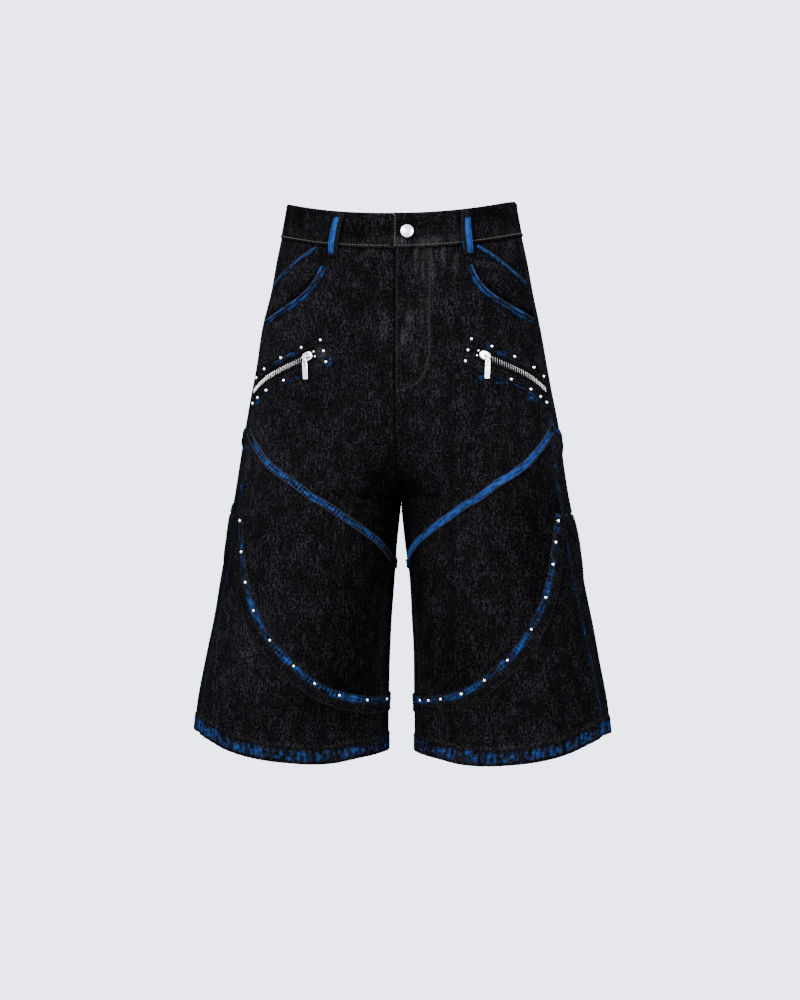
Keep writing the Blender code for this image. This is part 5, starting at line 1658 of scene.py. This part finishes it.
def build_stitching(side_name):
    side = SIDES[side_name]
    light = seam_rows(side, FRONT, knee_front, (0.02, 0.98), (-3.9, 3.9), TRIM_TOP - 0.15)
    light += seam_rows(side, FRONT, scoop, (POCKET_START + 0.004, 0.98), (1.5,), TRIM_TOP - 0.1)
    light += seam_rows(side, FRONT, facing_seam, (0.54, 0.98), (1.3,), TRIM_TOP - 0.2)
    stitches(f"stitching_light_{side_name}", light, "mid thread")
    waist = [band_rows(side_name, 3.2, BAND_OUT + 0.1)]
    if side > 0:
        rise = np.linspace(2, 40, 40)
        edge = np.full(40, math.radians(BAND_ENDS["left"]))
        lap = walk_round(edge, 2.2, np.full(40, band_top(-math.pi / 2) - 20))
        waist.append((side, lap, band_top(lap) - BAND_HEIGHT + rise, BAND_OUT + 1.0))
    stitches(f"stitching_waist_{side_name}", waist, "light thread", (3.5, 2.2, 0.52))
    dark = [band_rows(side_name, 38.4, BAND_OUT + 0.05), inner_rows(side, FRONT, 2.6, -655, -365, 0.3)]
    dark += [zip_rows(side, 10.2, ZIP_SLOT_END + 2.5, 1.9), zip_rows(side, 17.2, WELT_END - 2.0, 1.75)]
    dark += seam_rows(side, BACK, knee_back, (0.02, 0.98), (-3.9, 3.9), TRIM_TOP - 0.15)
    dark += seam_rows(side, FRONT, scoop, (POCKET_START + 0.02, 0.98), (8.2,), TRIM_TOP - 0.4)
    for face, line in ((FRONT, arc_front), (BACK, arc_back)):
        dark += seam_rows(side, face, line, (0.01, 0.95), (-3.4, 3.6), TRIM_TOP - 0.1)
        dark += seam_rows(side, face, line, (0.01, 0.95), (7.2, 14.6), 1.4)
    hem_z = np.linspace(0.01, 0.99, 200)
    for face, line in ((FRONT, hem_front), (BACK, hem_back)):
        start = panel_start(face, line(0.0))
        share = start + hem_z * (1 - start)
        z = line(share) + HEM_DEPTH - 2.2
        dark.append((side, panel_angle(face, share, z), z, 0.95))
    if side > 0:
        fly = [fly_rows(side, 0.0), inner_rows(side, FRONT, 2.2, FLY_END, -62, 1.0)]
        stitches("stitching_fly", fly, "mid thread")
        dark += [fly_rows(side, 6.0)]
        edge_z = np.linspace(-72, -232, 100)
        edge = walk_round(panel_angle(FRONT, 0.0, edge_z), 2.4, edge_z, 4)
        dark.append((side, edge, edge_z, 1.1))
    dark += [inner_rows(side, BACK, 2.4, -300, -52, 0.75 if side > 0 else 0.0)]
    dark += [inner_rows(side, BACK, 7.4, -330, -52, 0.6)] if side > 0 else []
    dark += [inner_rows(side, FRONT, 7.4, -655, -372, 0.3), inner_rows(side, FRONT, 2.4, -352, -238, 0.0)]
    dark += [side_rows(side, 2.6, -640, -70, 0.4), side_rows(side, 7.6, -640, -70, 0.3)]
    stitches(f"stitching_dark_{side_name}", dark, "dark thread")
    stitches(f"stitching_side_{side_name}", [side_rows(side, -2.6, -632, -262, 0.0)], "blue thread")
    loops = []
    for _, loop_side, angles, _ in loop_places():
        if loop_side != side:
            continue
        angle, z, _, _, height = loop_grid(side, *angles)
        for column in (2, 10):
            loops.append((side, angle[1:-1, column], z[1:-1, column], height[1:-1, column] + 1.75))
        for row in (3, 30):
            loops.append((side, angle[row], z[row], height[row] + 1.95))
    stitches(f"stitching_loops_{side_name}", loops, "dark thread", (2.4, 2.0, 0.32))


def build_buttonhole():
    """A worked buttonhole beside the button: close stitches round a slit."""
    side, count = 1, 64
    turn = np.linspace(0, 2 * np.pi, count, endpoint=False)
    start, stop, half = 22.5, 39.0, 2.1  # the slit's ends from the centre front, and half its width
    middle, reach = (start + stop) / 2, (stop - start) / 2
    x = middle + reach * np.sign(np.cos(turn)) * np.abs(np.cos(turn)) ** 0.5
    z = BUTTON_Z + half * np.sign(np.sin(turn)) * np.abs(np.sin(turn)) ** 0.6
    front_line = np.full(count, -math.pi / 2)
    angle = walk_round(front_line, x, z)
    place = cloth(side, angle, z, BAND_OUT + 0.35)
    inside = walk_round(front_line, np.clip(x, start + 2, stop - 2), z)
    axes = surface_axes(side, angle, z, place - cloth(side, inside, np.full(count, BUTTON_Z), BAND_OUT))
    sewing = scatter("buttonhole_stitches", stitch_template(2.2, 0.42), place, axes, stuff("dark thread"))
    finish_piece(sewing, "black_denim")
    slit_z = BUTTON_Z + np.array([-0.55, 0.0, 0.55])
    grid_x, grid_z = np.meshgrid(np.linspace(start + 1, stop - 1, 16), slit_z)
    slit = walk_round(np.full(grid_x.shape, -math.pi / 2), grid_x, grid_z)
    grid = cloth(side, slit, grid_z, BAND_OUT + 0.12)
    points = np.concatenate([grid.reshape(-1, 3), (grid + (0, 0.3, 0)).reshape(-1, 3)])
    front = grid_faces(3, 16)
    faces = np.concatenate([front, front[:, ::-1] + len(points) // 2])
    finish_piece(build_mesh("buttonhole_slit", points, faces, [stuff("dark thread")]), "black_denim")


# ---------------------------------------------------------------- stage


CAMERA_DISTANCE, CAMERA_AZIMUTH, CAMERA_HEIGHT, CAMERA_SHIFT = 2.1, 4.0, -0.3605, -0.002
CAMERA_LENS = 61.97
FLOOR_REACH, FLOOR_Z = 20000.0, -1300.0


def clear_scene():
    """Removes what a fresh Blender file brings, not the frame."""
    for obj in list(bpy.context.scene.objects):
        if obj.type in {"CAMERA", "LIGHT"}:
            bpy.data.objects.remove(obj, do_unlink=True)


def soft_light(name, place, aim, size, power):
    light = bpy.data.lights.new(name, "AREA")
    light.shape, light.size, light.energy = "DISK", size, power
    obj = bpy.data.objects.new(name, light)
    obj.location = place
    obj.rotation_euler = (Vector(aim) - Vector(place)).to_track_quat("-Z", "Y").to_euler()
    bpy.context.scene.collection.objects.link(obj)
    return obj


def build_stage(settings):
    grey = (settings.background * 0.93, settings.background, settings.background * 1.24, 1)
    world = bpy.data.worlds.new("studio")
    world.use_nodes = True
    world.node_tree.nodes["Background"].inputs["Color"].default_value = grey
    world.node_tree.nodes["Background"].inputs["Strength"].default_value = 1.0
    bpy.context.scene.world = world
    backdrop = bpy.data.materials.new("pale_floor")
    backdrop.use_nodes = True
    tree = backdrop.node_tree
    tree.nodes.clear()
    glow = tree.nodes.new("ShaderNodeEmission")
    glow.inputs["Color"].default_value = grey
    out = tree.nodes.new("ShaderNodeOutputMaterial")
    tree.links.new(glow.outputs[0], out.inputs["Surface"])
    corners = np.array([(-1, -1), (1, -1), (1, 1), (-1, 1)]) * FLOOR_REACH
    floor = build_mesh("floor", np.column_stack([corners, np.full(4, FLOOR_Z)]), [(0, 1, 2, 3)], [backdrop])
    aim = (0, 0, -0.35)
    lights = [
        soft_light("key_light", (-1.3, -2.2, 1.3), aim, 1.4, settings.key_power),
        soft_light("fill_light", (1.7, -1.9, 0.3), aim, 1.6, settings.key_power * 0.45),
        soft_light("rim_light_left", (-1.9, 1.2, 0.6), aim, 1.2, settings.key_power * 0.16),
        soft_light("rim_light_right", (1.9, 1.2, 0.4), aim, 1.2, settings.key_power * 0.16),
    ]
    camera_data = bpy.data.cameras.new("camera")
    camera_data.sensor_fit, camera_data.sensor_width, camera_data.sensor_height = "VERTICAL", 36.0, 36.0
    camera_data.lens = CAMERA_LENS
    camera = bpy.data.objects.new("camera", camera_data)
    turn = math.radians(CAMERA_AZIMUTH)
    right = Vector((math.cos(turn), math.sin(turn), 0))
    ahead = Vector((-math.sin(turn), math.cos(turn), 0))
    camera.location = ahead * -CAMERA_DISTANCE + right * CAMERA_SHIFT + Vector((0, 0, CAMERA_HEIGHT))
    camera.rotation_euler = ahead.to_track_quat("-Z", "Y").to_euler()
    bpy.context.scene.collection.objects.link(camera)
    bpy.context.scene.camera = camera


# ---------------------------------------------------------------- add-on


def colour_property(name, description, *rgb):
    return bpy.props.FloatVectorProperty(
        name=name, description=description, default=(*rgb, 1), size=4, min=0.0, max=1.0, precision=4,
        subtype="COLOR",
    )


class ColourSettings(bpy.types.PropertyGroup):
    """Colours of the cloth, the brushed blue and the metal."""

    denim_dark: colour_property("Denim", "The darkest of the black denim", 0.00050, 0.00047, 0.00055)
    denim_light: colour_property("Denim grain", "The light specks of the grain", 0.0056, 0.0053, 0.0059)
    denim_worn: colour_property("Worn denim", "Where the denim is rubbed along seams", 0.0082, 0.0078, 0.0080)
    brushed_thin: colour_property("Thin blue", "The brushed blue where it is thin", 0.0018, 0.0037, 0.0100)
    brushed_thick: colour_property("Thick blue", "The brushed blue where it is thick", 0.0031, 0.0124, 0.050)
    metal: colour_property("Metal", "Studs, button, sliders and pull tabs", 0.50, 0.49, 0.475)


def length_property(name, description, default):
    return bpy.props.FloatProperty(
        name=name, description=description, default=default, min=0.0001, precision=5, unit="LENGTH"
    )


class SewingSettings(bpy.types.PropertyGroup):
    """Sizes of the plain stitches."""

    pitch: length_property("Stitch pitch", "From one stitch to the next", 0.0033)
    length: length_property("Stitch length", "Length of the thread that shows", 0.0027)
    radius: length_property("Thread radius", "Half the thread's thickness", 0.00038)


class StageSettings(bpy.types.PropertyGroup):
    """Settings of the studio."""

    background: bpy.props.FloatProperty(
        name="Background", description="Brightness of the floor and the world", default=3.6, min=0.0, max=10.0
    )
    key_power: bpy.props.FloatProperty(
        name="Key power", description="Power of the main light", default=560.0, min=0.0, unit="POWER"
    )


class BuildPanels(bpy.types.Operator):
    """Builds the denim panels, pocket facings and hip pieces."""

    bl_idname = "jeans.build_panels"
    bl_label = "Denim panels"

    def execute(self, context):
        for side_name in SIDES:
            build_panels(side_name)
        build_allowances()
        return {"FINISHED"}


class BuildWaistband(bpy.types.Operator):
    """Builds both halves of the folded waistband."""

    bl_idname = "jeans.build_waistband"
    bl_label = "Waistband"

    def execute(self, context):
        for side_name in SIDES:
            build_waistband(side_name)
        return {"FINISHED"}


class BuildLoops(bpy.types.Operator):
    """Builds the five belt loops."""

    bl_idname = "jeans.build_loops"
    bl_label = "Belt loops"

    def execute(self, context):
        build_loops()
        return {"FINISHED"}


class BuildTrims(bpy.types.Operator):
    """Builds the brushed trims along the seams and the front pockets."""

    bl_idname = "jeans.build_trims"
    bl_label = "Seam trims"

    def execute(self, context):
        for side_name in SIDES:
            build_trims(side_name)
        return {"FINISHED"}


class BuildArcBands(bpy.types.Operator):
    """Builds the stitched bands along the curved seam."""

    bl_idname = "jeans.build_arc_bands"
    bl_label = "Curved bands"

    def execute(self, context):
        for side_name in SIDES:
            build_arc_bands(side_name)
        return {"FINISHED"}


class BuildZips(bpy.types.Operator):
    """Builds the frames, tapes, teeth and sliders of the zip pockets."""

    bl_idname = "jeans.build_zips"
    bl_label = "Zip pockets"

    def execute(self, context):
        for side_name in SIDES:
            build_welt(side_name)
            build_tape(side_name)
            build_chain(side_name)
            build_slider(side_name)
        return {"FINISHED"}


class BuildTabs(bpy.types.Operator):
    """Builds the hanging pull tabs."""

    bl_idname = "jeans.build_tabs"
    bl_label = "Pull tabs"

    def execute(self, context):
        for side_name in SIDES:
            build_tab(side_name)
        return {"FINISHED"}


class BuildStuds(bpy.types.Operator):
    """Builds the domed studs."""

    bl_idname = "jeans.build_studs"
    bl_label = "Studs"

    def execute(self, context):
        for side_name in SIDES:
            build_studs(side_name)
        return {"FINISHED"}


class BuildButton(bpy.types.Operator):
    """Builds the waist button and its worked buttonhole."""

    bl_idname = "jeans.build_button"
    bl_label = "Button"

    def execute(self, context):
        build_button()
        build_buttonhole()
        return {"FINISHED"}


class BuildStitching(bpy.types.Operator):
    """Builds the rows of stitching."""

    bl_idname = "jeans.build_stitching"
    bl_label = "Stitching"

    def execute(self, context):
        for side_name in SIDES:
            build_stitching(side_name)
        return {"FINISHED"}


class BuildStage(bpy.types.Operator):
    """Builds the pale floor, the lights and the camera."""

    bl_idname = "jeans.build_stage"
    bl_label = "Studio"

    def execute(self, context):
        clear_scene()
        build_stage(context.scene.jeans_stage)
        return {"FINISHED"}


BUILDERS = (
    BuildPanels, BuildWaistband, BuildLoops, BuildTrims, BuildArcBands, BuildZips, BuildTabs, BuildStuds,
    BuildButton, BuildStitching, BuildStage,
)


class JeansPanel(bpy.types.Panel):
    """The builders in the 3D view's sidebar."""

    bl_label = "Studded cropped jeans"
    bl_idname = "VIEW3D_PT_jeans"
    bl_space_type = "VIEW_3D"
    bl_region_type = "UI"
    bl_category = "Jeans"

    def draw(self, context):
        scene = context.scene
        for settings in (scene.jeans_colours, scene.jeans_sewing, scene.jeans_stage):
            for name in settings.__annotations__:
                self.layout.prop(settings, name)
        for builder in BUILDERS:
            self.layout.operator(builder.bl_idname)


CLASSES = (ColourSettings, SewingSettings, StageSettings, *BUILDERS, JeansPanel)


def register():
    for item in CLASSES:
        bpy.utils.register_class(item)
    bpy.types.Scene.jeans_colours = bpy.props.PointerProperty(type=ColourSettings)
    bpy.types.Scene.jeans_sewing = bpy.props.PointerProperty(type=SewingSettings)
    bpy.types.Scene.jeans_stage = bpy.props.PointerProperty(type=StageSettings)


def unregister():
    for name in ("jeans_colours", "jeans_sewing", "jeans_stage"):
        delattr(bpy.types.Scene, name)
    for item in reversed(CLASSES):
        bpy.utils.unregister_class(item)


def main():
    register()
    for builder in BUILDERS:
        group, name = builder.bl_idname.split(".")
        getattr(getattr(bpy.ops, group), name)()


if __name__ == "__main__":
    main()
